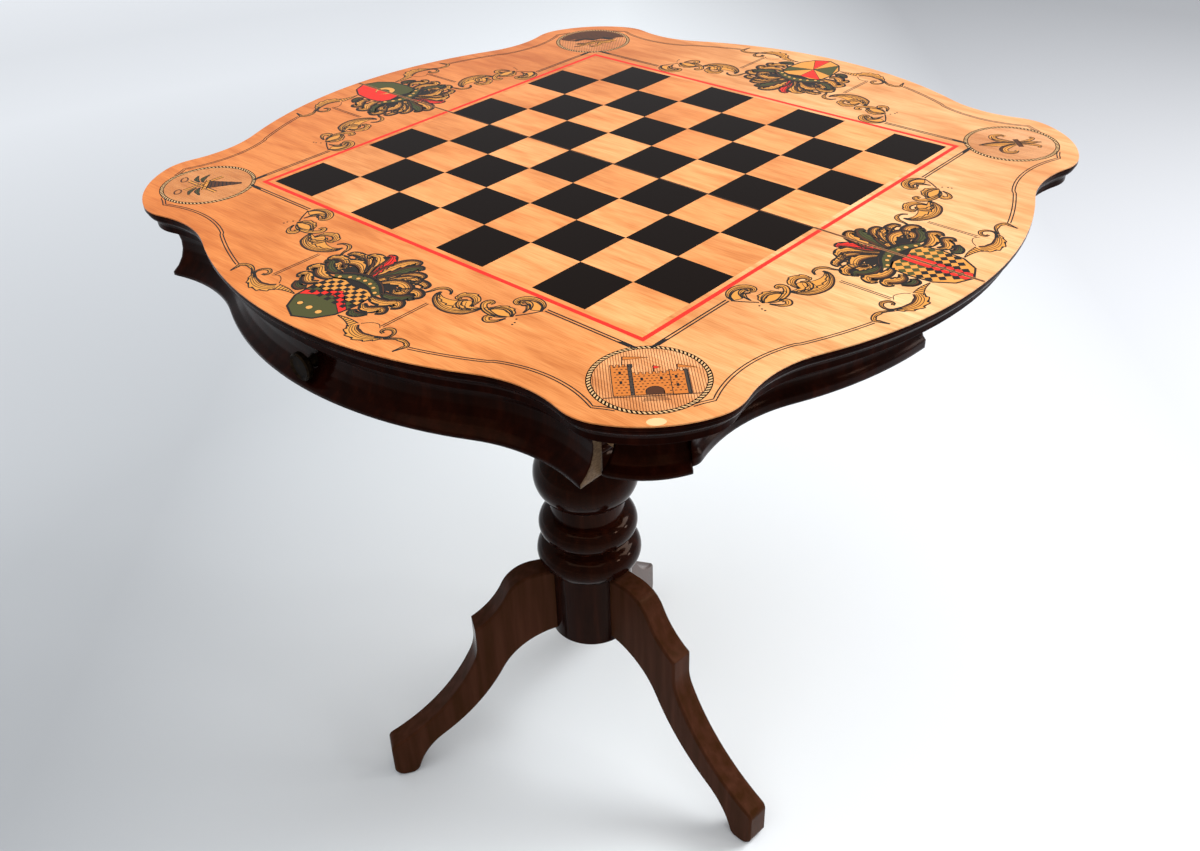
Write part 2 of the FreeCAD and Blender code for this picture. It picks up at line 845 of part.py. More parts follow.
def leg_blank():
    """One sawn leg, standing in the XZ plane. Its upper edge rolls over a shoulder to a sharp
    knee and sweeps down to a blunt toe; its lower edge is a long double curve to the heel."""

    def here(s, h):
        return Vector(s, -leg_thickness / 2, h)

    root = socket_radius - 2 * leg_edge
    joint_low = here(root, column_foot + leg_joint_rise)
    joint_high = here(root, joint_low.z + leg_joint_height)
    crest = here(leg_crest_reach, joint_high.z)
    shoulder = here(leg_shoulder_reach, joint_high.z - leg_shoulder_drop)
    knee = here(leg_knee_reach, leg_knee_height)
    knee_foot = here(leg_knee_reach, leg_knee_height - leg_knee_drop)
    sweep = here(leg_knee_reach + leg_sweep_reach, knee_foot.z - leg_sweep_drop)
    toe_top = here(leg_reach, toe_height)
    toe_low = here(leg_reach, 0)
    tread_back = here(leg_reach - toe_sole - tread_length, 0)
    heel = here(leg_reach - heel_setback, heel_height)
    arch = here(leg_arch_reach, column_foot - leg_arch_drop)
    edge = [joint_high, crest]
    edge += flowing(crest, 0, [shoulder, knee])
    edge += [knee_foot]
    edge += flowing(knee_foot, -90, [sweep, toe_top])
    edge += [toe_low, tread_back]
    edge += flowing(tread_back, 180 - toe_back_slope, [heel, arch, joint_low])
    blank = Part.Face(drawn(edge)).extrude(Vector(0, leg_thickness, 0))
    for corner, radius in ((toe_top, toe_nose), (toe_low, toe_sole), (tread_back, toe_back)):
        blank = rounded(blank, corner, radius)
    return blank


def rounded(board, corner, radius):
    """Round off one corner of the leg's outline."""

    def at_corner(edge):
        away = abs(edge.CenterOfMass.x - corner.x) + abs(edge.CenterOfMass.z - corner.z)
        return away < 0.01 and edge.BoundBox.YLength > 0.9 * leg_thickness

    return board.makeFillet(radius, [edge for edge in board.Edges if at_corner(edge)])


def softened(board):
    """Ease the long edges of both faces, apart from the hidden joint."""
    edges = [e for e in board.Edges
             if abs(e.CenterOfMass.y) > 0.49 * leg_thickness and e.BoundBox.XMax > socket_radius]
    return board.makeChamfer(leg_edge, edges)


def leg_angle(k):
    return first_leg_angle + 360.0 / leg_count * k


def leg(k):
    solid = softened(leg_blank()).cut(Part.makeCylinder(socket_radius, table_height))
    solid.rotate(Vector(0, 0, 0), Vector(0, 0, 1), leg_angle(k))
    solid.translate(Vector(column_x, 0, 0))
    return solid.cut(leg_dowels())


def leg_dowels():
    """Two dowels in each leg's joint, half in the column and half in the leg."""
    dowels = []
    for k in range(leg_count):
        outward = polar(1, leg_angle(k))
        for share in (0.25, 0.75):
            height = column_foot + leg_joint_rise + share * leg_joint_height
            start = Vector(column_x, 0, height) + outward * (socket_radius - dowel_length / 2)
            dowels.append(Part.makeCylinder(dowel_radius, dowel_length, start, outward))
    return Part.Compound(dowels)


# ---------------------------------------------------------------- nodes
def leaves():
    ring = leaf_edge_ring()
    parts = {"hinge_links": Part.Compound([link(y) for y in hinge_places()]), "rim_patch": rim_patch()}
    for name, side in (("near_", -1), ("far_", 1)):
        parts[name + "leaf_core"] = leaf_core(side)
        parts[name + "leaf_edge"] = half(side, ring)
        parts[name + "field_veneer"] = field_veneer(side)
        parts[name + "dark_squares"] = chess_squares(side, True)
        parts[name + "light_squares"] = chess_squares(side, False)
        parts[name + "red_stringing"] = red_string(side)
        parts[name + "rope_rings"] = rope_rings(side)
        parts[name + "medallions"] = medallions(side)
        parts[name + "hinge_barrels"] = Part.Compound([barrel(y, side) for y in hinge_places()])
    return parts


def case():
    side_apron = apron_side()
    corner = apron_corner()
    parts = {
        "apron_side_right": side_apron,
        "apron_side_left": mirror_y(side_apron),
        "apron_corner_right": corner,
        "apron_corner_left": mirror_y(corner),
        "back_rail": back_rail(),
        "case_bottom": case_bottom(),
        "glue_blocks": glue_blocks(),
        "top_screws": top_screws(),
        "drawer_stops": drawer_stops(),
    }
    for name, side in (("_right", -1), ("_left", 1)):
        parts["drawer_guide" + name] = guide(side, guide_inner)
        parts["loper_guide" + name] = guide(side, guide_outer).cut(loper_slot(side))
        parts["loper" + name] = loper(side)
        parts["loper_pin" + name] = loper_pin(side)
    return parts


def drawer():
    return {
        "drawer_front": drawer_front(),
        "drawer_side_right": drawer_side_board(-1),
        "drawer_side_left": drawer_side_board(1),
        "drawer_back": drawer_back_board(),
        "drawer_bottom": drawer_bottom(),
        "drawer_knob": knob(),
        "knob_screw": knob_screw(),
    }


def pedestal():
    parts = {
        "column_cleat": column_cleat(),
        "cleat_screws": cleat_screws(),
        "column": column(),
        "leg_dowels": leg_dowels(),
    }
    for k in range(leg_count):
        parts["leg_%d" % (k + 1)] = leg(k)
    return parts


os.makedirs("parts", exist_ok=True)
for group in (leaves(), case(), drawer(), pedestal()):
    for node, shape in group.items():
        shape.exportStep("parts/" + node + ".step")
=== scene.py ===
import json
import math

import bmesh
import bpy
import numpy as np
from mathutils import Matrix, Vector


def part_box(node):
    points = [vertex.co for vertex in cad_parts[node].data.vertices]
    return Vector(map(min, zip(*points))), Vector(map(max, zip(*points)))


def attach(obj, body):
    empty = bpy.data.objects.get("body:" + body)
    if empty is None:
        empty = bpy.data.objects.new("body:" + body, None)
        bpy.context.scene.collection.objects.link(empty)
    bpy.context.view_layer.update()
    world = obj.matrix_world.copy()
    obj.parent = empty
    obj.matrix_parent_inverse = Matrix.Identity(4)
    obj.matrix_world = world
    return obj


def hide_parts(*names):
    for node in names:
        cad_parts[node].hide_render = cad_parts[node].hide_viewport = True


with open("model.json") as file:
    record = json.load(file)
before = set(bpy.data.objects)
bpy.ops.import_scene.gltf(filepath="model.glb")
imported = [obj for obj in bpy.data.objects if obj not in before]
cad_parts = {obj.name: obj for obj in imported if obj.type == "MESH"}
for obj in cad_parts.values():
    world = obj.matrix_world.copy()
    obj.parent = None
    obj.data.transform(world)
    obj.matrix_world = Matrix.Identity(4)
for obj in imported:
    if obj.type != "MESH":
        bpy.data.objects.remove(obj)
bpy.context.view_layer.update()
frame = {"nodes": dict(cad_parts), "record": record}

# Looks of a fold-over chess table: polished veneers with inked ornament on the top, and a
# dark french-polished apron, column and legs. Metres, Z up, the seam along Y. The ornament
# is drawn in millimetres on the playing surface.

nodes = frame["nodes"]
MM = 0.001


def span(node):
    """Lowest and highest corners of a node in millimetres."""
    return [np.array(corner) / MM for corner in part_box(node)]


TOP = span("near_field_veneer")[1][2]            # playing surface
SEAM = -span("near_field_veneer")[1][0]          # half the gap between the leaves
SQUARE = -span("near_dark_squares")[0][0] / 4
RING = span("near_rope_rings")
RING_CENTRE = -(RING[0][0] + RING[1][0]) / 2
RING_RADIUS = (RING[1][0] - RING[0][0]) / 2
DISC = span("near_medallions")
DISC_RADIUS = (DISC[1][0] - DISC[0][0]) / 2
STRINGING = 2.7                                  # width of the red string
RED_MIDDLE = -span("near_red_stringing")[0][0] - STRINGING / 2
FRONT_END = span("drawer_front")[1][1]           # half the length of the drawer front
APRON_FOOT = span("back_rail")[0][2]
VENEER_END = 365.0                               # where the seam meets the rim
RIGHTWARD = (0.666, -0.745, 0)                   # level directions that tones run along
AWAY = (0.745, 0.666, 0)


# ---------------------------------------------------------------- colour and nodes
def linear(code, alpha=1.0):
    """Linear colour of an sRGB hex code, by the sRGB transfer curve."""
    parts = [int(code[i:i + 2], 16) / 255 for i in (1, 3, 5)]
    return [p / 12.92 if p <= 0.04045 else ((p + 0.055) / 1.055) ** 2.4 for p in parts] + [alpha]


def add(tree, kind, settings=None, **inputs):
    """New node. Settings are its properties; inputs are sockets by name, with _ for a space,
    or n and the socket's place, given a value or another node's output."""
    node = tree.nodes.new(kind)
    for name, value in (settings or {}).items():
        setattr(node, name, value)
    for name, value in inputs.items():
        key = int(name[1:]) if name[0] == "n" and name[1:].isdigit() else name.replace("_", " ")
        if isinstance(value, bpy.types.NodeSocket):
            tree.links.new(value, node.inputs[key])
        else:
            node.inputs[key].default_value = value
    return node


def toned(tree, factor, stops):
    """Colour that runs through (place, sRGB code) stops."""
    node = add(tree, "ShaderNodeValToRGB", Fac=factor)
    line = node.color_ramp
    while len(line.elements) < len(stops):
        line.elements.new(0.5)
    for element, (place, code) in zip(line.elements, stops):
        element.position = place
        element.color = linear(code)
    return node.outputs["Color"]


def over(tree, base, top, factor, mode="MIX"):
    """One colour laid over another."""
    settings = {"data_type": "RGBA", "blend_type": mode}
    return add(tree, "ShaderNodeMix", settings, n0=factor, n6=base, n7=top).outputs[2]


def figures(tree, place, sizes, detail=3.0):
    """Cloudy pattern whose blotches measure the given millimetres along X, Y and Z."""
    scaled = add(tree, "ShaderNodeMapping", Vector=place, Scale=[1 / size for size in sizes])
    return add(tree, "ShaderNodeTexNoise", Vector=scaled.outputs[0], Scale=1.0, Detail=detail).outputs["Fac"]


def millimetres(tree):
    """Object coordinates in millimetres."""
    source = add(tree, "ShaderNodeTexCoord").outputs["Object"]
    return add(tree, "ShaderNodeMapping", Vector=source, Scale=(1000, 1000, 1000)).outputs[0]


def share_along(tree, place, way, start, end):
    """How far a place lies from start to end along a direction, from nought to one."""
    along = add(tree, "ShaderNodeVectorMath", {"operation": "DOT_PRODUCT"}, n0=place, n1=way)
    return add(tree, "ShaderNodeMapRange", Value=along.outputs["Value"], n1=start, n2=end).outputs[0]


def new_material(name, roughness, **constants):
    """Empty material with its shader, and constants set on the shader's own sockets."""
    material = bpy.data.materials.new(name)
    material.use_nodes = True
    tree = material.node_tree
    shader = tree.nodes["Principled BSDF"]
    shader.inputs["Roughness"].default_value = roughness
    for key, value in constants.items():
        shader.inputs[key.replace("_", " ")].default_value = value
    return material, tree, shader


def simple(name, code, roughness, **constants):
    """Material of one even colour."""
    material, tree, shader = new_material(name, roughness, **constants)
    shader.inputs["Base Color"].default_value = linear(code)
    return material


# ---------------------------------------------------------------- finishes
# the field runs from orange at the left to pale at the right: partly the veneer's own tone, partly painted
# sheen on the right
FIELD_TONES = [(0.0, "#E88E48"), (0.5, "#F4A868"), (0.74, "#FFCB94"), (1.0, "#F4B680")]
SQUARE_TONES = [(0.0, "#FFB474"), (1.0, "#FFBC7E")]
DISC_TONES = [(0.0, "#F2A868"), (1.0, "#F8BE8C")]
TONE_REACH = 380.0                               # the tones run this far to either side
FAR_SHADE_REACH = 400.0                              # and the far corner is darkest this far away
MAPLE_FIGURE = (                                 # blotch sizes, detail, tones and strength
    ((60, 140, 60), 4.0, [(0.35, "#DCC8AE"), (0.5, "#F6EEE2"), (0.65, "#FFFFFF")], 0.7),
    ((10, 60, 10), 4.0, [(0.36, "#DDC3A0"), (0.56, "#FFFFFF")], 0.55),
    ((0.8, 26, 0.8), 2.0, [(0.35, "#D2B696"), (0.6, "#FFFFFF")], 0.45),
)


def maple_colour(tree, place, tones=FIELD_TONES):
    """Figured maple: orange at the left and paler to the right, partly the veneer's own tone and partly
    painted sheen, and browner at the far corner as painted shade, with broad clouds, short smudges across the
    light and fine grain along Y."""
    colour = toned(tree, share_along(tree, place, RIGHTWARD, -TONE_REACH, TONE_REACH), tones)
    # painted shade: the colour is multiplied browner towards the far corner, where less light falls
    depth = share_along(tree, place, AWAY, 0.0, FAR_SHADE_REACH)
    colour = over(tree, colour, linear("#EED8C6"), depth, "MULTIPLY")
    for sizes, detail, stops, strength in MAPLE_FIGURE:
        layer = toned(tree, figures(tree, place, sizes, detail), stops)
        colour = over(tree, colour, layer, strength, "MULTIPLY")
    return colour


def figured_maple():
    """Polished maple sheet: satin shellac over a clouded, finely grained ground."""
    material, tree, shader = new_material("polished_figured_maple", 0.3, Specular_IOR_Level=0.15)
    tree.links.new(maple_colour(tree, millimetres(tree)), shader.inputs["Base Color"])
    return material


def maple_squares():
    """The same maple cut in squares: each has its own tone and its own piece of the figure."""
    material, tree, shader = new_material("polished_maple_squares", 0.3, Specular_IOR_Level=0.15)
    cell_sizes = (SQUARE, SQUARE, 1000.0)        # one layer of cells through the whole height
    farthest = 90.0                              # a square's figure is moved by up to this
    place = millimetres(tree)
    cell = add(tree, "ShaderNodeVectorMath", {"operation": "DIVIDE"}, n0=place, n1=cell_sizes)
    cell = add(tree, "ShaderNodeVectorMath", {"operation": "FLOOR"}, n0=cell.outputs[0])
    chance = add(tree, "ShaderNodeTexWhiteNoise", {"noise_dimensions": "3D"}, Vector=cell.outputs[0])
    shift = add(tree, "ShaderNodeVectorMath", {"operation": "SCALE"}, n0=chance.outputs["Color"],
                Scale=farthest)
    moved = add(tree, "ShaderNodeVectorMath", {"operation": "ADD"}, n0=place, n1=shift.outputs[0])
    tone = toned(tree, chance.outputs["Value"], [(0.0, "#F4E8DA"), (0.5, "#FCF8F2"), (1.0, "#FFFFFF")])
    colour = over(tree, maple_colour(tree, moved.outputs[0], SQUARE_TONES), tone, 0.9, "MULTIPLY")
    tree.links.new(colour, shader.inputs["Base Color"])
    return material


def ruled_maple():
    """Maple medallion ruled with fine dark lines towards the board. X - Y counts across the
    lines on two of the corners and X + Y on the other two, by the sign of X times Y."""
    spacing = 1.9
    material, tree, shader = new_material("ruled_maple_medallion", 0.3, Specular_IOR_Level=0.15)
    place = millimetres(tree)
    parts = add(tree, "ShaderNodeSeparateXYZ", Vector=place)
    product = add(tree, "ShaderNodeMath", {"operation": "MULTIPLY"}, n0=parts.outputs[0], n1=parts.outputs[1])
    sign = add(tree, "ShaderNodeMath", {"operation": "SIGN"}, n0=product.outputs[0])
    signed = add(tree, "ShaderNodeMath", {"operation": "MULTIPLY"}, n0=sign.outputs[0], n1=parts.outputs[1])
    across = add(tree, "ShaderNodeMath", {"operation": "SUBTRACT"}, n0=parts.outputs[0], n1=signed.outputs[0])
    waves = add(tree, "ShaderNodeMath", {"operation": "MULTIPLY"}, n0=across.outputs[0],
                n1=2 * math.pi / (spacing * math.sqrt(2)))
    waves = add(tree, "ShaderNodeMath", {"operation": "SINE"}, n0=waves.outputs[0])
    ruling = toned(tree, waves.outputs[0], [(0.0, "#FFFFFF"), (0.55, "#FFF6EC"), (0.9, "#5E341A")])
    colour = over(tree, maple_colour(tree, place, DISC_TONES), ruling, 0.95, "MULTIPLY")
    tree.links.new(colour, shader.inputs["Base Color"])
    return material


CASE_TONES = [(0.35, "#150503"), (0.55, "#1F0804"), (0.75, "#2E0F07")]
# painted light: the legs get lighter tones than the case, standing in for the light falling on them
LIT_LEG_TONES = [(0.3, "#38200F"), (0.55, "#432619"), (0.8, "#4E2E20")]
TURNED_TONES = [(0.35, "#170604"), (0.55, "#200A05"), (0.75, "#2C1008")]
STREAK_SIZES = (9, 9, 120)
END_DEPTH = 0.3                                  # of the raw skin at the drawer front's ends


def mahogany(name, ease, shine=0.07, raw_ends=False, tones=CASE_TONES):
    """French-polished dark mahogany: a near-black red brown with faint warmer streaks under a
    clear gloss. Its edges are eased by the given millimetres, as hand polishing leaves them."""
    material, tree, shader = new_material(name, 0.16, Specular_IOR_Level=shine,
                                          Specular_Tint=linear("#C88A64"))
    place = millimetres(tree)
    streak = figures(tree, place, STREAK_SIZES, 4.0)
    colour = toned(tree, streak, tones)
    if raw_ends:
        side = add(tree, "ShaderNodeSeparateXYZ", Vector=place).outputs[1]
        away = add(tree, "ShaderNodeMath", {"operation": "ABSOLUTE"}, n0=side)
        end = add(tree, "ShaderNodeMath", {"operation": "GREATER_THAN"}, n0=away.outputs[0],
                  n1=FRONT_END - END_DEPTH)
        fibre = figures(tree, place, (2, 2, 0.6), 3.0)
        grain = toned(tree, fibre, [(0.3, "#5C4838"), (0.6, "#7C654E"), (0.8, "#967C60")])
        colour = over(tree, colour, grain, end.outputs[0])
    tree.links.new(colour, shader.inputs["Base Color"])
    eased = add(tree, "ShaderNodeBevel", {"samples": 6}, Radius=ease * MM)
    tree.links.new(eased.outputs[0], shader.inputs["Normal"])
    return material


def round_mahogany():
    """The same french polish on turned work, which has no corners to ease."""
    material, tree, shader = new_material("turned_mahogany", 0.1, Specular_IOR_Level=0.09,
                                          Specular_Tint=linear("#E0B090"))
    streak = figures(tree, millimetres(tree), STREAK_SIZES, 4.0)
    tree.links.new(toned(tree, streak, TURNED_TONES), shader.inputs["Base Color"])
    return material


def raw_wood():
    """Unpolished softwood inside the case: matt, with straight grain along Y."""
    material, tree, shader = new_material("raw_secondary_wood", 0.75, Specular_IOR_Level=0.2)
    fibre = figures(tree, millimetres(tree), (5, 90, 5), 3.0)
    tree.links.new(toned(tree, fibre, [(0.3, "#93704C"), (0.5, "#B8946A"), (0.7, "#CBAB82")]),
                   shader.inputs["Base Color"])
    return material


def bronze():
    """Dark patinated bronze: brown-black with a soft metallic shine where it's rubbed."""
    material, tree, shader = new_material("patinated_bronze", 0.45, Metallic=0.7,
                                          Specular_Tint=linear("#6A5138"))
    patch = figures(tree, millimetres(tree), (4, 4, 4), 3.0)
    tree.links.new(toned(tree, patch, [(0.35, "#120C08"), (0.6, "#22190F"), (0.8, "#3C2E1C")]),
                   shader.inputs["Base Color"])
    return material


def paint(material, *names):
    """Gives nodes of the frame a material of their own."""
    for name in names:
        mesh = nodes[name].data
        mesh.materials.clear()
        mesh.materials.append(material)


maple = figured_maple()
case_mahogany = mahogany("french_polished_mahogany", 3.0)
# ebonised: pearwood dyed black, under the same satin shellac as the maple
ebonised = simple("ebonised_veneer", "#120A06", 0.2, Specular_IOR_Level=0.03)
# brass and steel: turned fittings, plain and a little dulled
brass = simple("dull_brass", "#B08A4A", 0.35, Metallic=1.0)
steel = simple("plain_steel", "#8A8A8C", 0.4, Metallic=1.0)
# stringing: dyed holly, an even bright red
red_string = simple("red_dyed_stringing", "#D22C1C", 0.3, Specular_IOR_Level=0.15)
# patch: unstained maple, the palest wood in the top
pale_maple = simple("unstained_maple", "#E6BF8A", 0.35, Specular_IOR_Level=0.15)

finish_of = {
    "dark_mahogany": case_mahogany, "secondary_wood": raw_wood(), "figured_maple": maple,
    "ruled_maple": ruled_maple(), "ebonised_veneer": ebonised, "red_stringing": red_string,
    "rope_banding": ebonised, "pale_patch": pale_maple, "brass": brass, "antique_bronze": bronze(),
    "steel": steel,
}
for part in frame["record"]["subparts"]:
    paint(finish_of[part["material_slot"]], part["node"])
paint(maple_squares(), "near_light_squares", "far_light_squares")
paint(mahogany("moulded_mahogany_edge", 0.8, shine=0.02), "near_leaf_edge", "far_leaf_edge")
paint(mahogany("drawer_front_mahogany", 3.0, raw_ends=True), "drawer_front")
# painted light: the legs' lighter copy of the mahogany stands in for the light that reaches them
paint(mahogany("lit_leg_mahogany", 1.5, shine=0.03, tones=LIT_LEG_TONES), "leg_1", "leg_2", "leg_3")


# ---------------------------------------------------------------- meshes
def new_piece(name, points, corners, sizes, material):
    """Object from flat arrays: points in millimetres, each face's corners, and face sizes."""
    mesh = bpy.data.meshes.new(name)
    mesh.vertices.add(len(points))
    mesh.vertices.foreach_set("co", (points * MM).ravel())
    mesh.loops.add(len(corners))
    mesh.loops.foreach_set("vertex_index", corners)
    mesh.polygons.add(len(sizes))
    mesh.polygons.foreach_set("loop_start", np.concatenate([[0], np.cumsum(sizes)[:-1]]))
    mesh.update(calc_edges=True)
    mesh.materials.append(material)
    piece = bpy.data.objects.new(name, mesh)
    bpy.context.collection.objects.link(piece)
    return piece


def arc(start, middle, end, count=14):
    """Points from start to end on the circle through three points, centred where the
    perpendicular bisectors of its chords meet."""
    a, b, c = (complex(*p) for p in (start, middle, end))
    w = (c - a) / (b - a)
    centre = (b - a) * (w - abs(w) ** 2) / (2j * w.imag) + a
    first = np.angle(a - centre)
    turn = np.angle((b - centre) / (a - centre)) + np.angle((c - centre) / (b - centre))
    circle = centre + abs(a - centre) * np.exp(1j * (first + turn * np.linspace(0, 1, count)))
    return np.column_stack([circle.real, circle.imag])


SHARP = 28                                       # degrees from which a turned edge is crisp


def turned(name, profile, centre, material, segments=96):
    """Solid turned about an upright axis: the point at share s of the profile and angle t is
    (r(s) cos t, r(s) sin t, z(s)), closed by a pole at each end of the profile."""
    turn = np.linspace(0, 2 * math.pi, segments, endpoint=False)
    radius, height = profile[:, 0], profile[:, 1]
    ring = np.stack([np.outer(radius, np.cos(turn)), np.outer(radius, np.sin(turn)),
                     np.repeat(height[:, None], segments, axis=1)], axis=2).reshape(-1, 3)
    poles = np.array([[0, 0, height[0]], [0, 0, height[-1]]])
    points = np.vstack([ring, poles]) + np.array([*centre, 0])
    rows = len(profile)
    here = np.arange(rows - 1)[:, None] * segments + np.arange(segments)
    beside = np.arange(rows - 1)[:, None] * segments + (np.arange(segments) + 1) % segments
    quads = np.stack([here, beside, beside + segments, here + segments], axis=2).reshape(-1, 4)
    last = (rows - 1) * segments
    around = np.arange(segments)
    following = (around + 1) % segments
    low = np.column_stack([following, around, np.full(segments, rows * segments)])
    high = np.column_stack([around + last, following + last, np.full(segments, rows * segments + 1)])
    corners = np.concatenate([quads.ravel(), low.ravel(), high.ravel()])
    sizes = np.concatenate([np.full(len(quads), 4), np.full(2 * segments, 3)])
    piece = new_piece(name, points, corners, sizes, material)
    piece.data.polygons.foreach_set("use_smooth", np.ones(len(sizes), bool))
    piece.data.set_sharp_from_angle(angle=math.radians(SHARP))
    return piece


def turned_column():
    """The column with its rings, bulb, vase and collar as true curves."""
    ring = 33.5                                  # height of each ring
    bead = 10.0                                  # height of the beads under and over the vase
    foot = 168.0
    shoulder = foot + 93.0
    waist = shoulder + ring + 3.0
    rings_top = waist + ring
    bulb_foot = rings_top + 17.5
    bulb_top = bulb_foot + 61.0
    bead_foot = bulb_top + 5.0
    vase_foot = bead_foot + bead
    head = APRON_FOOT - 14.0
    collar = head - 8.0
    flare = collar - 22.0
    vase_top = flare - bead
    slimmest = vase_foot + 0.62 * (vase_top - vase_foot)
    socket, neck, vase_end, throat, cap, tenon = 45, 40, 30, 28, 35, 18    # radii
    chamfer = 5.0
    profile = np.vstack([
        [(neck, foot)],
        [(socket, foot + chamfer), (socket, shoulder)],
        arc((socket, shoulder), (56, shoulder + ring / 2), (socket, shoulder + ring), 24),
        arc((42, waist), (52.5, waist + ring / 2), (neck, rings_top), 24),
        [(neck, bulb_foot)],
        arc((neck, bulb_foot), (55, bulb_foot + 26.8), (34, bulb_top), 32),
        arc((vase_end, bead_foot), (34, bead_foot + bead / 2), (vase_end, vase_foot), 10),
        arc((vase_end, vase_foot), (24, slimmest), (throat, vase_top), 24),
        arc((throat, vase_top), (32, vase_top + bead / 2), (throat, flare), 10),
        arc((throat, flare), (28.8, flare + 12.5), (cap, collar), 12),
        [(cap, head), (tenon, head), (tenon, APRON_FOOT)],
    ])
    steps = np.linalg.norm(np.diff(profile, axis=0), axis=1)
    profile = profile[np.concatenate([[True], steps > 0.01])]    # where two arcs meet, one point
    low, high = span("column")
    centre = (low[:2] + high[:2]) / 2
    piece = turned("column_turned", profile, centre, round_mahogany())
    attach(piece, "table")
    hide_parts("column")


turned_column()


# ---------------------------------------------------------------- drawing on the top
def curve(points, steps=7):
    """Smooth line through points: a cubic over each pair whose slope at a point is half the
    step between its neighbours."""
    p = np.asarray(points, float)
    p = np.vstack([2 * p[0] - p[1], p, 2 * p[-1] - p[-2]])
    t = np.linspace(0, 1, steps, endpoint=False)[:, None]
    a, b, c, d = (p[k:len(p) - 3 + k, None] for k in range(4))
    q = 0.5 * (2 * b + (c - a) * t + (2 * a - 5 * b + 4 * c - d) * t ** 2
               + (3 * b - a - 3 * c + d) * t ** 3)
    return np.vstack([q.reshape(-1, 2), p[-2]])


def circle(centre, radius, start=0.0, turn=360.0, count=24):
    """Points at equal steps along an arc about a centre, in degrees."""
    t = np.radians(start + turn * np.linspace(0, 1, count))
    return np.asarray(centre, float) + np.column_stack([np.cos(t), np.sin(t)]) * radius


def either_side(path, left, right):
    """The two edges of a stroke: the path moved square to its travel by its half widths."""
    step = np.gradient(path, axis=0)
    step /= np.maximum(np.linalg.norm(step, axis=1, keepdims=True), 1e-9)
    side = np.column_stack([-step[:, 1], step[:, 0]])
    return path + side * np.reshape(left, (-1, 1)), path - side * np.reshape(right, (-1, 1))


def signed_area(outline):
    """Area of a closed outline, below nought where it runs clockwise."""
    x, y = outline.T
    return 0.5 * np.sum(x * np.roll(y, -1) - y * np.roll(x, -1))


LET_IN = 0.02                                    # depth of the ink below the playing surface
LEVELS = 16                                      # heights that the strokes of one ink share


class Ink:
    """One colour of the ornament: closed slabs let into the veneer and less than a tenth of a
    millimetre proud of it. Level is the height of the first stroke in thousandths of a
    millimetre. Each stroke lies one higher than the last and every sixteenth starts again, so
    that strokes drawn one after another don't share a plane."""

    def __init__(self, name, code, level, slot):
        self.name, self.level, self.slot = name, level, slot
        self.material = simple(name, code, 0.4, Specular_IOR_Level=0.2)
        self.points, self.corners, self.sizes = [], [], []
        self.total = 0
        self.strokes = 0

    def store(self, plan, corners, sizes):
        """Keeps a slab: its outline above, the same below, and its faces."""
        count = len(plan)
        height = TOP + (self.level + self.strokes % LEVELS) * MM
        self.points.append(np.vstack([np.column_stack([plan, np.full(count, height)]),
                                      np.column_stack([plan, np.full(count, TOP - LET_IN)])]))
        self.corners.append(corners + self.total)
        self.sizes.append(sizes)
        self.total += 2 * count
        self.strokes += 1

    def strip(self, left, right):
        """Slab between two edges with as many points, to the left and right of travel."""
        if signed_area(np.vstack([right, left[::-1]])) < 0:
            left, right = right, left
        n = len(left)
        i = np.arange(n - 1)
        a, b, low_a, low_b = i, i + n, i + 2 * n, i + 3 * n    # left and right, above and below
        quads = np.vstack([
            np.column_stack([b, b + 1, a + 1, a]),
            np.column_stack([low_a, low_a + 1, low_b + 1, low_b]),
            np.column_stack([a, a + 1, low_a + 1, low_a]),
            np.column_stack([b + 1, b, low_b, low_b + 1]),
            [[n, 0, 2 * n, 3 * n], [n - 1, 2 * n - 1, 4 * n - 1, 3 * n - 1]],
        ])
        self.store(np.vstack([left, right]), quads.ravel(), np.full(len(quads), 4))

    def patch(self, outline):
        """Slab of a closed outline."""
        if signed_area(outline) < 0:
            outline = outline[::-1]
        n = len(outline)
        i = np.arange(n)
        j = (i + 1) % n
        sides = np.column_stack([j, i, i + n, j + n])
        corners = np.concatenate([i, (i + n)[::-1], sides.ravel()])
        self.store(outline, corners, np.concatenate([[n, n], np.full(n, 4)]))

    def finish(self):
        """Makes the slabs of each leaf one piece, cut and closed at the seam."""
        whole = new_piece(self.name, np.vstack(self.points), np.concatenate(self.corners),
                          np.concatenate(self.sizes), self.material)
        for leaf, body, side in (("near_", "table", -1), ("far_", "far_leaf", 1)):
            work = bmesh.new()
            work.from_mesh(whole.data)
            cut = bmesh.ops.bisect_plane(work, geom=work.verts[:] + work.edges[:] + work.faces[:],
                                         plane_co=(side * SEAM * MM, 0, 0), plane_no=(side, 0, 0),
                                         clear_inner=True)
            rims = [e for e in cut["geom_cut"] if isinstance(e, bmesh.types.BMEdge)]
            bmesh.ops.holes_fill(work, edges=rims, sides=0)
            bmesh.ops.recalc_face_normals(work, faces=work.faces[:])
            if not work.faces:                   # an ink that's on the other leaf only
                work.free()
                continue
            mesh = bpy.data.meshes.new(leaf + self.name)
            work.to_mesh(mesh)
            work.free()
            mesh.shade_flat()
            mesh.materials.append(self.material)
            piece = bpy.data.objects.new(leaf + self.name, mesh)
            bpy.context.collection.objects.link(piece)
            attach(piece, body)
        bpy.data.objects.remove(whole)


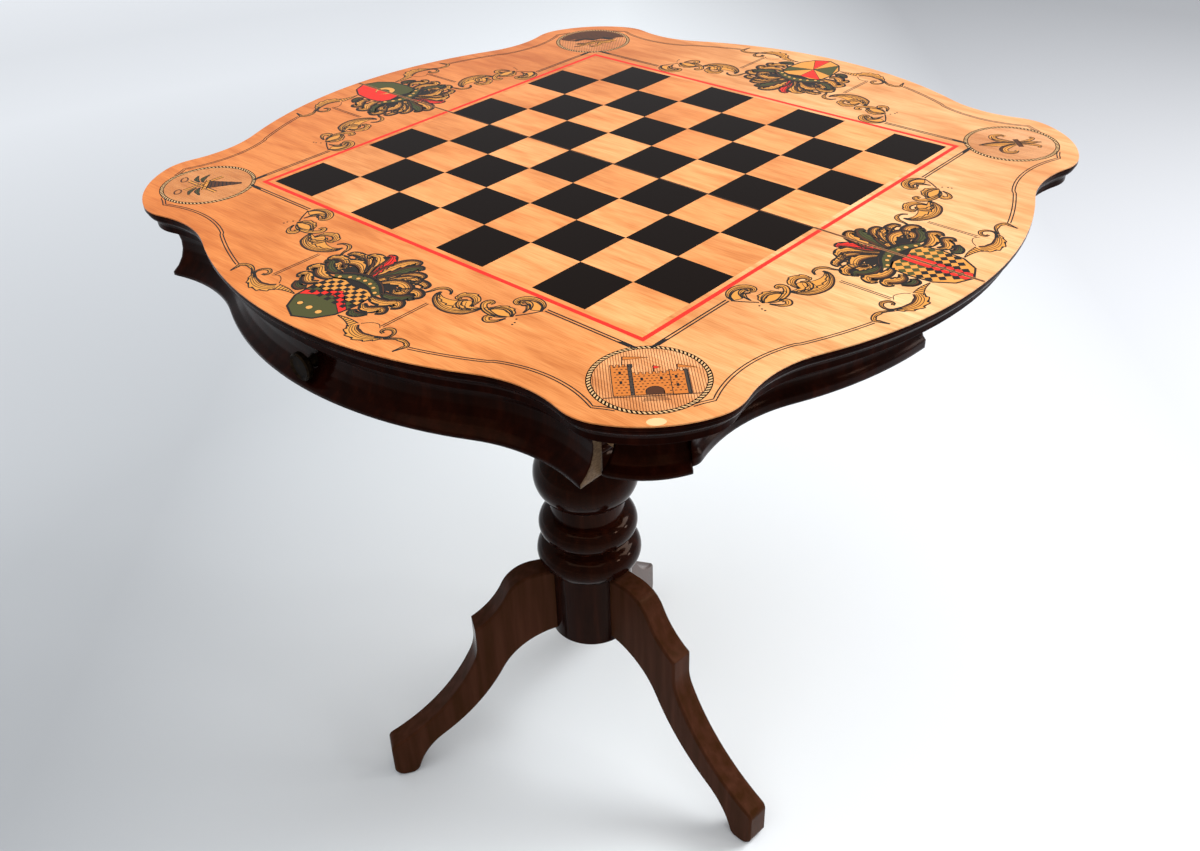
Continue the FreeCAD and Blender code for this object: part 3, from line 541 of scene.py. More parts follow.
# inks and stains let into the veneer, each with its level
SHADE = Ink("black_shadow_under_leaves", "#1C130D", 6, "ebonised_veneer")
BEAD = Ink("pale_rope_beads", "#DDB07A", 20, "rope_banding")
GOLD = Ink("gold_brown_stain", "#DA9240", 24, "ruled_maple")
ORANGE = Ink("orange_brown_stain", "#C8722C", 30, "ruled_maple")
OLIVE = Ink("olive_stain", "#46461F", 38, "ruled_maple")
RED = Ink("red_stain", "#E42A1C", 44, "red_stringing")
BROWN = Ink("brown_shading", "#4C2810", 50, "ruled_maple")
GREY = Ink("grey_brown_shading", "#41352C", 54, "ruled_maple")
BLACK = Ink("black_drawing_ink", "#16100D", 60, "ebonised_veneer")
GOLD_HIGH = Ink("gold_charge", "#DFA050", 56, "ruled_maple")
# painted shade along the seam on the veneer, standing in for the shadow in the gap between the leaves, and a
# painted highlight beside it where the rounded arris catches the light
GAP_SHADE = Ink("painted_gap_shade", "#3C2210", 84, "ebonised_veneer")
PAINTED_EDGE_HIGHLIGHT = Ink("painted_edge_highlight", "#C08858", 86, "rope_banding")
INKS = (SHADE, BEAD, GOLD, ORANGE, OLIVE, RED, BROWN, GREY, BLACK, GOLD_HIGH, GAP_SHADE, PAINTED_EDGE_HIGHLIGHT)

TOOTH_RISE = 0.55                                # shares of a leaf's half width
TOOTH_DIP = 0.25
VEIN_SPREAD = 0.8
LONE_VEIN = 0.15
VEIN_HALF = 0.3                                  # half width of a vein


class Pen:
    """Draws in a frame of its own: the point (a, b) lies at origin + a * across + b * up."""

    def __init__(self, origin, across, up):
        self.origin = np.asarray(origin, float)
        self.axes = np.array([across, up], float)

    def on_table(self, points):
        """The pen's points in the table's own X and Y."""
        return self.origin + np.asarray(points, float) @ self.axes

    def line(self, ink, path, width):
        """Stroke of even width along points as given."""
        ink.strip(*either_side(self.on_table(path), width / 2, width / 2))

    def sweep(self, ink, points, width):
        """Stroke of even width along a smooth curve."""
        self.line(ink, curve(points), width)

    def patch(self, ink, outline, edge=0.0):
        """Flat shape, with a black line round it if edge is a width."""
        ink.patch(self.on_table(outline))
        if edge:
            self.line(BLACK, np.vstack([outline, outline[:2]]), edge)

    def leaf(self, ink, points, halves, teeth=0, veins=1, edge=1.1, shadow=0.5, dark=0.4):
        """Leaf or tendril: a smooth curve whose half width runs through the given ones, with
        teeth cut in one side, black edge lines, veins that follow it, a brown shade along a
        share of its smooth side, and a wider dark shadow underneath."""
        path = curve(points, 14 if teeth else 7)
        share = np.linspace(0, 1, len(path))
        half = np.interp(share, np.linspace(0, 1, len(halves)), halves)
        toothed = half
        if teeth:
            toothed = half * (1 + TOOTH_RISE * (1 - (share * teeth) % 1.0)) - TOOTH_DIP * half
        table = self.on_table(path)
        flip = np.sign(np.linalg.det(self.axes))
        left, right = (toothed, half) if flip > 0 else (half, toothed)
        sides = either_side(table, left, right)
        if shadow:
            SHADE.strip(*either_side(table, half + shadow, half + shadow))
        ink.strip(*sides)
        if dark:
            lit = (dark - 1) * half
            BROWN.strip(*(either_side(table, lit, half) if flip > 0 else either_side(table, half, lit)))
        for side in sides:
            BLACK.strip(*either_side(side, edge / 2, edge / 2))
        for k in range(veins):
            offset = half * LONE_VEIN
            if veins > 1:
                offset = half * ((k + 1) / (veins + 1) * 2 - 1) * VEIN_SPREAD
            vein = either_side(table, offset, 0 * half)[0][1:-2]
            BLACK.strip(*either_side(vein, VEIN_HALF, VEIN_HALF))


# ---------------------------------------------------------------- scrolls and lines
# a run's points are (along the side from its middle, out from the board's centre)
def inner_run(pen):
    """Scroll beside the red line, from a hooked leaf by the corner to a tendril."""
    for body in (
        [(138, 238), (135, 232), (129, 229), (121, 229), (116, 234), (116, 239), (120, 237),
         (126, 236), (131, 241)],
        [(128, 257), (123, 252), (116, 251), (110, 254), (103, 260), (111, 262.5), (119, 262.5),
         (124, 260)],
        [(102, 262), (98, 269), (93, 274), (85, 278), (75, 278), (65, 273), (60, 266), (67, 268),
         (75, 267), (82, 263), (88, 259), (94, 264)],
    ):
        pen.patch(GOLD, curve(body + body[:1])[:-1], 0.8)
    pen.leaf(GOLD, [(138.7, 238.2), (135.6, 231.5), (128.9, 227.9), (121.2, 228.4), (115.5, 233),
                    (114.5, 238.2), (117.6, 240.3), (120.1, 238.2)], (0.4, 2.4, 3.2, 2.4, 1.2), veins=2)
    pen.leaf(GOLD, [(131, 241), (126.5, 235.5), (121, 234.5), (119.5, 238)], (0.4, 2, 0.6))
    pen.sweep(BLACK, [(139.8, 236.7), (134.6, 246), (128.9, 254.2)], 1.3)
    pen.leaf(GOLD, [(130.5, 248), (128.9, 241.8), (125.3, 238.2), (121.2, 240.8)], (0.2, 1.4, 0.3))
    pen.leaf(GOLD, [(127.9, 257.3), (123.2, 252.2), (116, 250.6), (109.8, 254.2), (106.7, 260.4)],
             (0.5, 3.2, 2.4, 0.5), teeth=6, veins=2)
    pen.leaf(GOLD, [(125.3, 259.4), (119.1, 263), (110.8, 263), (102.6, 260.4), (97.9, 255.3),
                    (99, 250.6), (102.1, 250.6), (102.1, 253.7)], (0.4, 2.6, 2.2, 1.0))
    pen.leaf(GOLD, [(126.3, 261.5), (123.2, 268.7), (118.1, 272.3), (113.9, 269.2), (115.5, 265.6),
                    (118.6, 266.1)], (0.4, 2.6, 1.2))
    pen.leaf(GOLD, [(102.1, 262), (98.4, 268.7), (93.3, 274.4), (85, 278), (74.7, 278), (65.4, 273.8),
                    (60.2, 268.2), (59.2, 263)], (0.5, 4.2, 4.4, 2.6, 0.6), teeth=9, veins=3)
    pen.leaf(GOLD, [(97, 268), (91, 270.5), (84.5, 269), (81.5, 263.5), (84.5, 259.5)],
             (0.5, 2.4, 1.8, 0.6), teeth=4)
    pen.leaf(GOLD, [(93.3, 265.6), (91.7, 258.4), (87.1, 253.7), (80.9, 253.2), (76.2, 256.8),
                    (76.2, 261.5), (79.3, 262.5)], (0.6, 3.4, 2.8, 1.2), teeth=5, veins=2)
    pen.leaf(GOLD, [(68, 262), (64.4, 257.8), (58.2, 257.3), (53.5, 261.5), (52, 267.7), (49.4, 273.8)],
             (0.4, 1.7, 0.4))
    for spot in ((135.6, 261.5), (133, 257.3), (136.1, 264.6)):
        pen.patch(BLACK, circle(spot, 0.9, count=8)[:-1])
    for start, end in (((88, 272), (83, 265)), ((83, 274), (80, 267)), ((90, 268), (85.5, 262))):
        pen.line(BLACK, [start, end], 0.5)


def outer_run(pen):
    """Scroll near the rim: a striped horn, a toothed body, a volute and a leaf tail."""
    tip, mouth, line = 0.15, 3.9, 0.5            # half widths of the horn's ends and its lines
    horn = curve([(26.1, 335), (36.5, 334.8), (46.8, 336.9)])
    swell = np.linspace(tip, mouth, len(horn))
    sides = either_side(pen.on_table(horn), swell, swell)
    GOLD.strip(*sides)
    for side in sides:
        BLACK.strip(*either_side(side, line, line))
    for k in range(3, len(horn) - 1, 2):
        BLACK.strip(*either_side(np.array([sides[0][k], sides[1][k]]), line, line))
    pen.leaf(GOLD, [(46.8, 336.9), (52, 342.5), (61.3, 344.6), (70.6, 341.5), (77.8, 335.8)],
             (3.9, 5.6, 4.6, 1.4), teeth=6, veins=3)
    pen.leaf(GOLD, [(72.6, 338.9), (79.8, 332.7), (79.3, 326.5), (74.7, 323.4), (70, 326), (70, 330.1),
                    (73.1, 331.2)], (0.4, 1.6, 0.8))
    pen.sweep(BLACK, [(65.4, 327.6), (60.2, 324.5), (54, 327), (49.4, 332.2)], 0.7)
    pen.leaf(GOLD, [(78.8, 336.3), (86, 330.7), (93.3, 329.1), (99.5, 331.7), (99, 336.9), (97.4, 343.6)],
             (0.5, 1.7, 1.5, 0.3), teeth=4)


def double_line(pen, path, apart, width):
    """Two thin dark lines side by side."""
    for side in either_side(pen.on_table(path), apart / 2, apart / 2):
        BLACK.strip(*either_side(side, width / 2, width / 2))


def border_lines(pen):
    """The double line that follows the rim to the ring, the straight one beside the board
    with its black wedge, and the short upright pair where the scrolls meet."""
    bulge = 349.0                                # the line's radius about the board's centre
    bulge_start = 102.6
    notch = np.array([207.6, 406.0])             # and its radius about the hollow's centre
    hollow = 108.0
    hollow_end = (251.7, 306.4)
    start = math.degrees(math.acos(bulge_start / bulge))
    meet = math.degrees(math.atan2(notch[1], notch[0]))
    rim = circle((0, 0), bulge, start, meet - start, 14)
    first = 180 + meet
    last = 360 + math.degrees(math.atan2(hollow_end[1] - notch[1], hollow_end[0] - notch[0]))
    dip = circle(notch, hollow, first, last - first, 26)
    double_line(pen, np.vstack([rim, dip[1:], [(258.5, 303.3), (265.4, 300.4)]]), 2.4, 1.0)
    double_line(pen, [(141, 234.5), (180, 234.5), (221.5, 234.5)], 2.7, 1.3)
    pen.patch(BLACK, [(208, 236.2), (214, 233.4), (226.5, 232.4), (226.5, 235.2), (214, 236.6)])
    double_line(pen, [(64.9, 282), (64.9, 304), (64.9, 325.5)], 2.2, 0.9)


# ---------------------------------------------------------------- shields on the four sides
# a shield's points are (right, out from the board's centre), so its crest is towards the board
SHIELD = np.array([
    (-24, 300), (-13, 296), (0, 299), (13, 296), (24, 300), (26, 317),
    (24, 336), (15, 350), (0, 357), (-15, 350), (-24, 336), (-26, 317),
], float)
SHIELD_MIDDLE = np.array([0.0, 324.0])
CHEQUER_SHARE = 0.88                             # of the shield, so that no cell passes its edge


def inside_shield(points, shrink):
    """Which points lie within the shield drawn in a little: those nearer its middle than its
    outline is in the same direction."""
    away = np.asarray(points, float) - SHIELD_MIDDLE
    rim = SHIELD - SHIELD_MIDDLE
    bearing = np.arctan2(rim[:, 1], rim[:, 0])
    order = np.argsort(bearing)
    reach = np.interp(np.arctan2(away[:, 1], away[:, 0]), bearing[order],
                      np.hypot(*rim.T)[order], period=2 * math.pi)
    return np.hypot(*away.T) < shrink * reach


def cells(pen, ink, size, turn, half_only=0):
    """Chequer of a shield: every second cell of a grid of squares or of lozenges, all over it
    or only towards the crest (-1) or the point (1)."""
    k = np.arange(-10, 11)
    i, j = (m.ravel() for m in np.meshgrid(k, k))
    c, s = math.cos(turn), math.sin(turn)
    centres = np.column_stack([(i * c - j * s) * size, (i * s + j * c) * size]) + SHIELD_MIDDLE
    corner = np.array([(-1, -1), (1, -1), (1, 1), (-1, 1)]) * size / 2
    corner = corner @ np.array([[c, s], [-s, c]])
    chosen = ((i + j) % 2 == 0) & inside_shield(centres, CHEQUER_SHARE)
    chosen &= (centres[:, 1] - SHIELD_MIDDLE[1]) * half_only >= 0
    for centre in centres[chosen]:
        pen.patch(ink, centre + corner)


def shield_chequy(pen):
    """Black and gold chequer over an olive point, with a red chevron between."""
    pen.patch(OLIVE, SHIELD[[11, 5, 6, 7, 8, 9, 10]], 0.6)
    cells(pen, BLACK, 4.6, 0.0, -1)
    for a in (-11, 0, 11):
        pen.patch(GOLD_HIGH, circle((a, 341), 2.6, count=10)[:-1], 0.5)
    pen.patch(RED, [(-25, 326), (0, 309), (25, 326), (24, 333), (0, 318), (-24, 333)], 0.7)


def shield_lozengy(pen):
    """Olive lozenges on gold and an upright red band."""
    cells(pen, OLIVE, 5.2, math.pi / 4)
    cells(pen, BLACK, 5.2, math.pi / 4, 1)
    pen.patch(RED, [(-6, 299), (6, 299), (6, 353), (0, 356), (-6, 353)], 0.7)


def shield_gyronny(pen):
    """Wedges from the middle, red and olive on gold."""
    rim = SHIELD[[0, 2, 4, 5, 7, 8, 9, 11]]
    for k, ink in zip(range(0, 8, 2), (RED, OLIVE, RED, OLIVE)):
        pen.patch(ink, np.array([SHIELD_MIDDLE, rim[k], rim[k + 1]]), 0.6)
    for corner in rim:
        pen.line(BLACK, [SHIELD_MIDDLE, corner], 0.6)


def shield_parted(pen):
    """Olive and red halves with a gold crescent."""
    pen.patch(OLIVE, SHIELD[[0, 1, 2, 8, 9, 10, 11]], 0.6)
    pen.patch(RED, SHIELD[2:9], 0.6)
    outer = circle((-1, 322), 10, 20, 320, 26)
    inner = circle((2.0, 322), 7, 340, -320, 26)
    pen.patch(GOLD_HIGH, np.vstack([outer, inner]), 0.5)


MANTLING = (                                     # ink, points and half widths of each leaf
    (GOLD, [(10, 286), (17, 277), (26, 273), (35, 276), (38, 283), (33, 287), (29, 284)],
     (1, 4.4, 4.6, 3, 1.2)),
    (OLIVE, [(24, 292), (33, 293), (41, 290), (47, 284), (52, 287)], (1.2, 4.2, 3.4, 1)),
    (GOLD, [(22, 301), (30, 303), (39, 301), (46, 295), (51, 299), (48, 304)], (1.2, 4.6, 4, 1.2)),
    (GOLD, [(27, 312), (33, 316), (39, 314), (44, 309), (48, 312), (45, 316)], (1.2, 4.2, 3.4, 1)),
    (OLIVE, [(28, 322), (32, 326), (37, 325), (42, 320)], (1.2, 3.4, 2.6, 0.6)),
    (GOLD, [(30, 283), (38, 277), (46, 275), (51, 279), (49, 284)], (1, 3.6, 3.4, 1)),
    (GOLD, [(12, 278), (18, 268), (26, 262), (33, 263), (34, 269)], (1, 3.8, 3.4, 1)),
    (GOLD, [(28, 268), (36, 263), (43, 264), (45, 269)], (0.8, 3, 2.6, 0.8)),
)
PLUMES = (                                       # ink and points, the middle one last
    (GOLD, [(-4, 284), (-10, 272), (-16, 262), (-23, 256), (-29, 258), (-27, 263)]),
    (GOLD, [(4, 284), (11, 273), (18, 264), (24, 257), (30, 256), (31, 261)]),
    (RED, [(-2, 280), (-7, 268), (-9, 257), (-14, 249), (-19, 250)]),
    (OLIVE, [(2, 280), (8, 268), (11, 256), (17, 248), (22, 250)]),
    (GOLD, [(0, 284), (-2, 270), (0, 256), (4, 246), (10, 243), (12, 248)]),
)
PEARLS = ((-21, 296), (-14, 291.5), (-7, 289), (0, 288), (7, 289), (14, 291.5), (21, 296))


def mantling(pen, side):
    """Acanthus on one side of a shield: curled, toothed leaves over their own dark shadows."""
    for ink, points, halves in MANTLING:
        mirrored = [(side * a, b) for a, b in points]
        pen.leaf(ink, mirrored, halves, teeth=6, veins=2, edge=1.2, shadow=1.8, dark=0.55)


def dark_ground(pen):
    """Nine-lobed dark shadow behind the leaves: an oval of half axes 31 and 17 mm whose reach
    swells and shrinks by 12 in a hundred."""
    t = np.linspace(0, 2 * math.pi, 72, endpoint=False)
    lobes = 1 + 0.12 * np.sin(9 * t)
    pen.patch(SHADE, np.column_stack([31 * lobes * np.cos(t), 282 + 17 * lobes * np.sin(t)]))


def arms(pen, charge):
    """Invented arms: a shield under a dark pearled band and five plumes, between acanthus."""
    dark_ground(pen)
    for side in (-1, 1):
        mantling(pen, side)
    for ink, points in PLUMES:
        pen.leaf(ink, points, (2.6, 4.6, 4.8, 3, 1), teeth=7, veins=2, edge=1.2, shadow=1.6, dark=0.55)
    pen.leaf(OLIVE, [(-26, 297), (-14, 289), (0, 286), (14, 289), (26, 297)], (4.6, 5.4, 6, 5.4, 4.6),
             veins=0, edge=1.4, shadow=1.4)
    pen.sweep(BLACK, [(-25, 293), (-13, 285), (0, 282), (13, 285), (25, 293)], 2.6)
    for spot in PEARLS:
        pen.patch(GOLD_HIGH, circle(spot, 1.9, count=11)[:-1], 0.5)
    pen.patch(GOLD, SHIELD, 1.8)
    charge(pen)
    pen.line(BLACK, np.vstack([SHIELD, SHIELD[:2]]), 1.6)


# ---------------------------------------------------------------- medallions
# a medallion's points are (right, towards the board), from its centre
def battlements(left, right, foot, top, teeth, notch):
    """Outline of a wall whose top steps up and down in equal merlons and gaps."""
    across = np.repeat(np.linspace(right, left, 2 * teeth), 2)[1:-1]
    down = np.tile([0, 0, notch, notch], teeth)[:len(across)]
    return np.vstack([[(left, foot), (right, foot), (right, top)], np.column_stack([across, top - down]),
                      [(left, top)]])


COURSE = 3.2                                     # pitch of the castle's stones
STONE = np.array([(0, 0), (1.4, 0), (1.4, 0.9), (0, 0.9)])
WINDOW = np.array([(-0.9, -1.8), (0.9, -1.8), (0.9, 1.8), (-0.9, 1.8)])


def castle(pen):
    """A castle on a line of ground, lit from the left, with a gate and three pennants."""
    pen.patch(ORANGE, battlements(-25, -11, -19, 19.5, 4, 2.5), 0.6)
    pen.patch(ORANGE, battlements(-11, 14, -19, 8.5, 6, 2.5), 0.6)
    pen.patch(ORANGE, battlements(14, 26, -20, 10, 3, 2.2), 0.6)
    pen.patch(GREY, [(-13.4, -19), (-11, -19), (-11, 14), (-10, 16), (-10, 19.5), (-13.4, 19.5)], 0.4)
    pen.patch(GREY, [(24, -20), (26.5, -20), (26.5, 10), (24, 10)], 0.4)
    gate = np.vstack([[(8.5, -19)], circle((2.5, -15.5), 6, 0, 180, 12), [(-3.5, -19)]])
    pen.patch(BROWN, gate, 0.7)
    pen.line(BLACK, [(-32, -20.5), (0, -20.7), (34, -20.5)], 0.9)
    for k in range(4):
        pen.line(BLACK, [(-4 - k, -22 - 1.4 * k), (9 + k, -22 - 1.4 * k)], 0.4)
    for row, height in enumerate(np.arange(-16, 18, COURSE)):
        for a in np.arange(-23 + COURSE / 2 * (row % 2), 22, COURSE):
            low_wall = a > -12 and height > 4
            clear = np.hypot(a - 2.5, height + 15.5) > 7.5
            if clear and not low_wall:
                pen.patch(BLACK, STONE + (a, height))
    for spot in ((-19, 9), (-19, -3), (18, 1), (18, -9), (-5, 0), (8, 0)):
        pen.patch(BLACK, WINDOW + spot)
    for foot, top, tip, ink in (
        ((-17, 19.5), (-16, 29.5), (1.5, 27), ORANGE),
        ((3.6, 8.5), (3.8, 16), (9, 14), RED),
        ((19.6, 10), (20.2, 16.5), (33, 11), ORANGE),
    ):
        pen.line(BLACK, [foot, top], 0.8)
        low = (top[0] - 0.1, top[1] - 4.2)
        pen.patch(ink, [top, tip, low], 0.6)


def lily(pen):
    """Fleur-de-lis pointing to the board, with dark shading along one side of each petal."""
    for side in (-1, 1):
        pen.leaf(GOLD, [(side * 2.5, -4), (side * 6, 4), (side * 12, 11), (side * 19, 11), (side * 21, 4),
                        (side * 17, 0)], (1.2, 3.4, 3.6, 2.4, 1.2), veins=2, edge=0.8)
        pen.leaf(GOLD, [(side * 2, -8), (side * 4, -16), (side * 9, -23), (side * 13, -21)],
                 (1.2, 2.2, 1.6, 0.6), edge=0.7)
        pen.leaf(BROWN, [(side * 5, 5), (side * 11, 12.6), (side * 18, 13)], (0.3, 1.1, 0.3),
                 veins=0, edge=0.2)
    pen.leaf(GOLD, [(0, -5), (0, 4), (0, 13), (0, 22), (0, 30)], (1.6, 4.6, 5.2, 3.2, 0.3),
             veins=3, edge=0.9)
    pen.leaf(BROWN, [(2.6, 2), (3, 12), (1.2, 25)], (0.4, 1.5, 0.3), veins=0, edge=0.2)
    pen.leaf(GOLD, [(0, -8), (0, -17), (0, -28)], (1.6, 3.0, 0.3), veins=2, edge=0.8)
    pen.patch(BROWN, [(-9, -8.5), (9, -8.5), (9, -4.5), (-9, -4.5)], 0.8)


def cone_and_rods(pen):
    """A dark striped cone towards the board over two crossed rods that end in loops."""
    for side in (-1, 1):
        pen.leaf(GOLD, [(side * 17, 10), (side * 2, -6), (side * -10, -19)], (1.5, 1.5, 1.5),
                 veins=0, edge=0.7)
        loop = circle((side * -13.5, -24), (5.0, 3.0), 0, 360, 22)
        pen.line(BROWN, loop, 1.4)
        pen.leaf(OLIVE, [(side * 6, -6), (side * 14, -7), (side * 23, -3)], (0.4, 2.2, 0.3), edge=0.6)
        pen.leaf(OLIVE, [(side * 6, -9), (side * 13, -13), (side * 21, -13)], (0.4, 2, 0.3), edge=0.6)
    pen.patch(BROWN, [(-8, 0), (8, 0), (1.2, 30), (-1.2, 30)], 0.8)
    for k in range(8):
        half = 7.6 - 0.9 * k
        pen.line(BLACK, [(-half, 2 + 3.4 * k), (half, 3.6 + 3.4 * k)], 0.9)
    pen.patch(GOLD, [(-11, -3.5), (11, -3.5), (10, 0.5), (-10, 0.5)], 0.7)


def bough(pen):
    """A gnarled bough over hatched ground and a jagged dark shadow."""
    ground = circle((0, 0), DISC_RADIUS - 1, 195, 150, 30)
    skyline = [(28, -4), (21, -9), (14, -5), (6, -10), (-3, -6), (-12, -11), (-22, -7), (-29, -9)]
    pen.patch(BROWN, np.vstack([ground, skyline]), 0.5)
    for k in range(9):
        pen.line(BLACK, [(-26 + 6 * k, -12), (-22 + 6 * k, -25 + abs(k - 4))], 0.5)
    pen.patch(BLACK, [(-27, -6), (-18, -3), (-9, -7), (0, -2), (9, -6), (19, -1), (27, -4),
                      (19, -7), (8, -11), (-3, -7), (-14, -12), (-22, -8)])
    pen.leaf(GOLD, [(-25, -1), (-13, 5), (-3, 3), (8, 10), (20, 8)], (3.2, 4.4, 3, 3.8, 1.4),
             teeth=7, veins=3, edge=0.8)
    pen.leaf(GOLD, [(-8, 6), (-6, 14), (1, 20), (5, 17)], (2.4, 2, 1.4, 0.5), teeth=4, edge=0.7)
    pen.leaf(GOLD, [(10, 9), (15, 16), (22, 18)], (2, 1.5, 0.4), teeth=3, edge=0.7)


def rope(centre):
    """Pale slanted beads round a ring, between its dark inner and outer lines. Each takes half
    of its share of the ring and leans by a little more than that."""
    count = 76
    wide, lean = 0.5, 0.55
    inner, outer = RING_RADIUS - 3.3, RING_RADIUS - 0.8
    share = 2 * math.pi / count
    for start in np.arange(count) * share:
        t = start + share * np.array([0, wide, wide + lean, lean])
        r = np.array([inner, inner, outer, outer])
        BEAD.patch(centre + np.column_stack([r * np.cos(t), r * np.sin(t)]))


def red_square():
    """Red line round the board, wider than the stringing it covers and a little proud of it."""
    width = 4.0
    inner, outer = RED_MIDDLE - width / 2, RED_MIDDLE + width / 2
    for turn in range(4):
        c, s = round(math.cos(turn * math.pi / 2)), round(math.sin(turn * math.pi / 2))
        side = np.array([(inner, -inner), (outer, -outer), (outer, outer), (inner, inner)])
        RED.patch(side @ np.array([[c, s], [-s, c]]))


def seam_shade_and_highlight():
    """Painted shade along the seam on both leaves, as far as the veneer goes, standing in for the shadow in
    the gap, with a pale painted highlight of the rounded arris beside it between the board and the rim."""
    count = 9
    shade_near, shade_far = 0.9, 0.6               # width of the dark line on each leaf
    highlight_middle, highlight_half = 0.95, 0.25          # the pale line's distance from the edge
    seam = np.column_stack([np.zeros(count), np.linspace(-VENEER_END, VENEER_END, count)])
    GAP_SHADE.strip(*either_side(seam, SEAM + shade_near, SEAM + shade_far))
    for end in (-VENEER_END, VENEER_END):
        along = np.linspace(np.sign(end) * 4 * SQUARE, end, count)
        for side in (-1, 1):
            strip = np.column_stack([np.full(count, side * (SEAM + highlight_middle)), along])
            PAINTED_EDGE_HIGHLIGHT.strip(*either_side(strip, highlight_half, highlight_half))


def draw_top():
    """One design, turned and mirrored to the eight half sides, then the shields and the
    medallions, each the right way up from its own side or corner."""
    sides = [np.array(d, float) for d in ((-1, 0), (0, -1), (1, 0), (0, 1))]
    charges = (shield_chequy, shield_lozengy, shield_gyronny, shield_parted)
    for out, charge in zip(sides, charges):
        along = np.array([-out[1], out[0]])
        for flip in (-1, 1):
            pen = Pen((0, 0), flip * along, out)
            inner_run(pen)
            outer_run(pen)
            border_lines(pen)
        arms(Pen((0, 0), along, out), charge)
    scenes = {(-1, -1): castle, (1, -1): lily, (-1, 1): cone_and_rods, (1, 1): bough}
    for corner, scene in scenes.items():
        centre = np.array(corner) * RING_CENTRE
        up = -np.array(corner) / math.sqrt(2)
        rope(centre)
        scene(Pen(centre, (up[1], -up[0]), up))


red_square()
draw_top()
seam_shade_and_highlight()
for ink in INKS:
    ink.finish()


# ---------------------------------------------------------------- floor, light and camera
def seen_directly(tree):
    """One for camera, glossy and transmission rays and nought for the light of the room."""
    ray = add(tree, "ShaderNodeLightPath")
    seen = add(tree, "ShaderNodeMath", {"operation": "ADD"}, n0=ray.outputs["Is Camera Ray"],
               n1=ray.outputs["Is Glossy Ray"])
    return add(tree, "ShaderNodeMath", {"operation": "ADD", "use_clamp": True}, n0=seen.outputs[0],
               n1=ray.outputs["Is Transmission Ray"]).outputs[0]


# painted light and shade in the floor's colour: darkest to the left, where the table's shadow falls, palest
# about the middle and toned down far to the right
FLOOR_LIGHT_AND_SHADE = [(0.0, "#C2C6CA"), (0.45, "#F7FCFF"), (0.72, "#E7EAED"), (1.0, "#CFD1D5")]
FLOOR_REACH = 30.0                               # in metres
LAMP_AIM = Vector((0, 0, 0.5))
PANE = 0.22
LAMPS = (                                        # place and width in metres, power in watts
    ("window", (2.0, -1.3, 2.3), 1.6, 78),
    ("ceiling", (-0.7, -0.4, 3.3), 4.0, 95),
    # two small panes low on the right give the sharp glints on the turned work
    ("high_pane", (0.62, -1.85, 1.4), PANE, 3.5),
    ("low_pane", (1.49, -1.53, 0.85), PANE, 3.5),
)


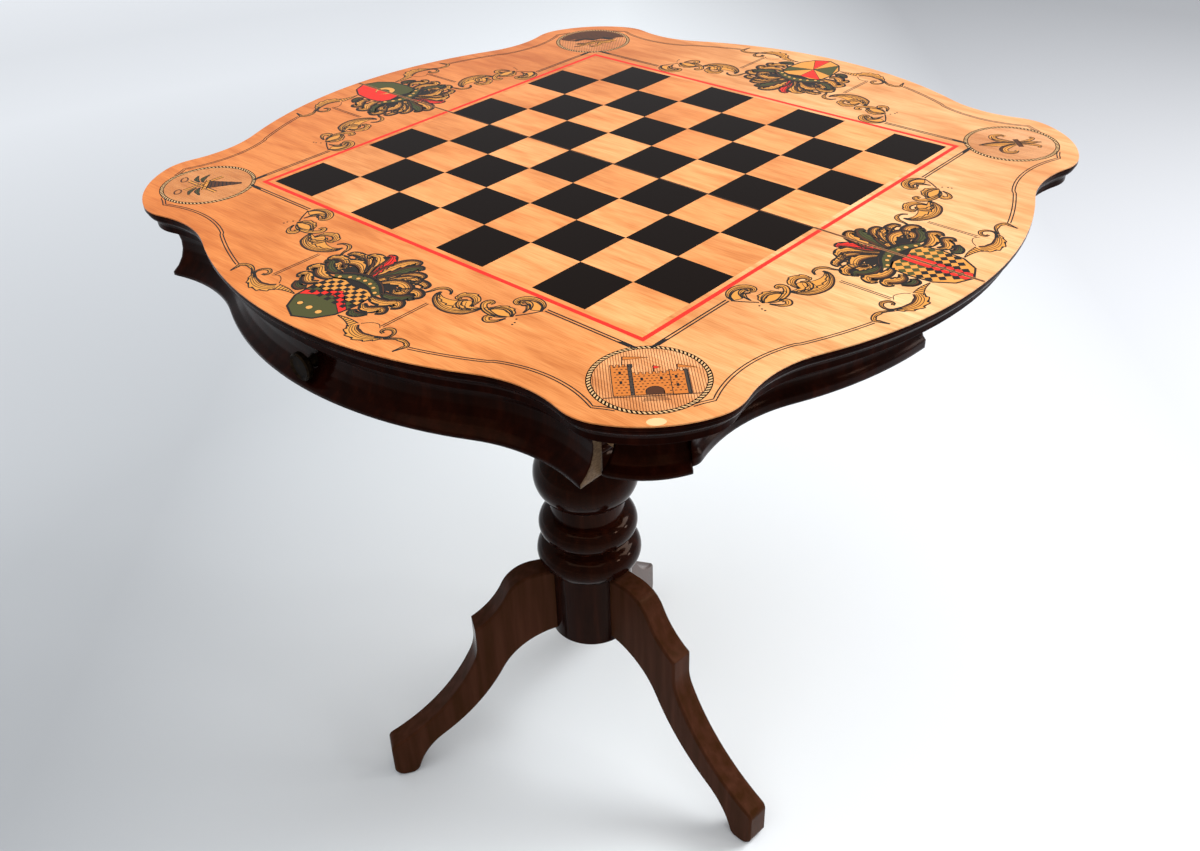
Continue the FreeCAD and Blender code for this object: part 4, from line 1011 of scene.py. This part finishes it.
def studio_floor():
    """Pale floor, whiter to the right than to the left: its colour holds painted shade, the table's shadow to
    the left, and is toned down far to the right. Seen directly it glows, as painted light, a little on the
    left from 0.9 m away on, and all round from 3.2 m away on, as a lit room would."""
    near_glow, far_glow = 0.48, 0.55
    material, tree, shader = new_material("pale_studio_floor", 0.6, Specular_IOR_Level=0.1)
    place = millimetres(tree)
    share = share_along(tree, place, RIGHTWARD, -700.0, 900.0)
    tree.links.new(toned(tree, share, FLOOR_LIGHT_AND_SHADE), shader.inputs["Base Color"])
    away = add(tree, "ShaderNodeVectorMath", {"operation": "LENGTH"}, n0=place).outputs["Value"]
    far = add(tree, "ShaderNodeMapRange", Value=away, n1=900.0, n2=2600.0)
    left = add(tree, "ShaderNodeMath", {"operation": "SUBTRACT"}, n0=1.0, n1=share)
    glow = add(tree, "ShaderNodeMath", {"operation": "MULTIPLY"}, n0=far.outputs[0], n1=left.outputs[0])
    beyond = add(tree, "ShaderNodeMapRange", Value=away, n1=3200.0, n2=6500.0, n4=far_glow)
    glow = add(tree, "ShaderNodeMath", {"operation": "MULTIPLY_ADD"}, n0=glow.outputs[0], n1=near_glow,
               n2=beyond.outputs[0])
    seen = add(tree, "ShaderNodeMath", {"operation": "MULTIPLY"}, n0=seen_directly(tree),
               n1=glow.outputs[0])
    shader.inputs["Emission Color"].default_value = linear("#F2F5FA")
    tree.links.new(seen.outputs[0], shader.inputs["Emission Strength"])
    return material


def lay_floor():
    """One square sheet under the feet."""
    reach = FLOOR_REACH
    mesh = bpy.data.meshes.new("floor")
    mesh.from_pydata([(-reach, -reach, 0), (reach, -reach, 0), (reach, reach, 0), (-reach, reach, 0)],
                     [], [(0, 1, 2, 3)])
    floor = bpy.data.objects.new("floor", mesh)
    bpy.context.collection.objects.link(floor)
    mesh.materials.append(studio_floor())


def paint_surround():
    """Pale grey walls, brighter where they're seen than in the light that they give."""
    world = bpy.data.worlds.new("studio")
    bpy.context.scene.world = world
    world.use_nodes = True
    tree = world.node_tree
    surround = tree.nodes["Background"]
    surround.inputs["Color"].default_value = linear("#DADDE2")
    strength = add(tree, "ShaderNodeMapRange", Value=seen_directly(tree), n3=0.35, n4=0.8)
    tree.links.new(strength.outputs[0], surround.inputs["Strength"])


def hang_lamps():
    """Square area lamps, all turned to the middle of the table."""
    for name, place, size, power in LAMPS:
        lamp = bpy.data.lights.new(name, "AREA")
        lamp.size = size
        lamp.energy = power
        thing = bpy.data.objects.new(name, lamp)
        thing.location = place
        thing.rotation_euler = (LAMP_AIM - Vector(place)).to_track_quat("-Z", "Y").to_euler()
        bpy.context.collection.objects.link(thing)


def build_camera():
    """Camera a little above eye level to the table's corner, rolled two degrees."""
    eye = Vector((-0.7771, -0.6966, 1.1235))
    aim = Vector((-0.0906, -0.0556, 0.4760))
    roll = math.radians(-2.17)
    lens = bpy.data.cameras.new("camera")
    lens.sensor_width = 36.0
    lens.lens = 36.48
    camera = bpy.data.objects.new("camera", lens)
    turn = (aim - eye).to_track_quat("-Z", "Y").to_matrix() @ Matrix.Rotation(roll, 3, "Z")
    camera.matrix_world = Matrix.Translation(eye) @ turn.to_4x4()
    bpy.context.collection.objects.link(camera)
    bpy.context.scene.camera = camera


lay_floor()
paint_surround()
hang_lamps()
build_camera()
bpy.context.scene.view_settings.view_transform = "Standard"
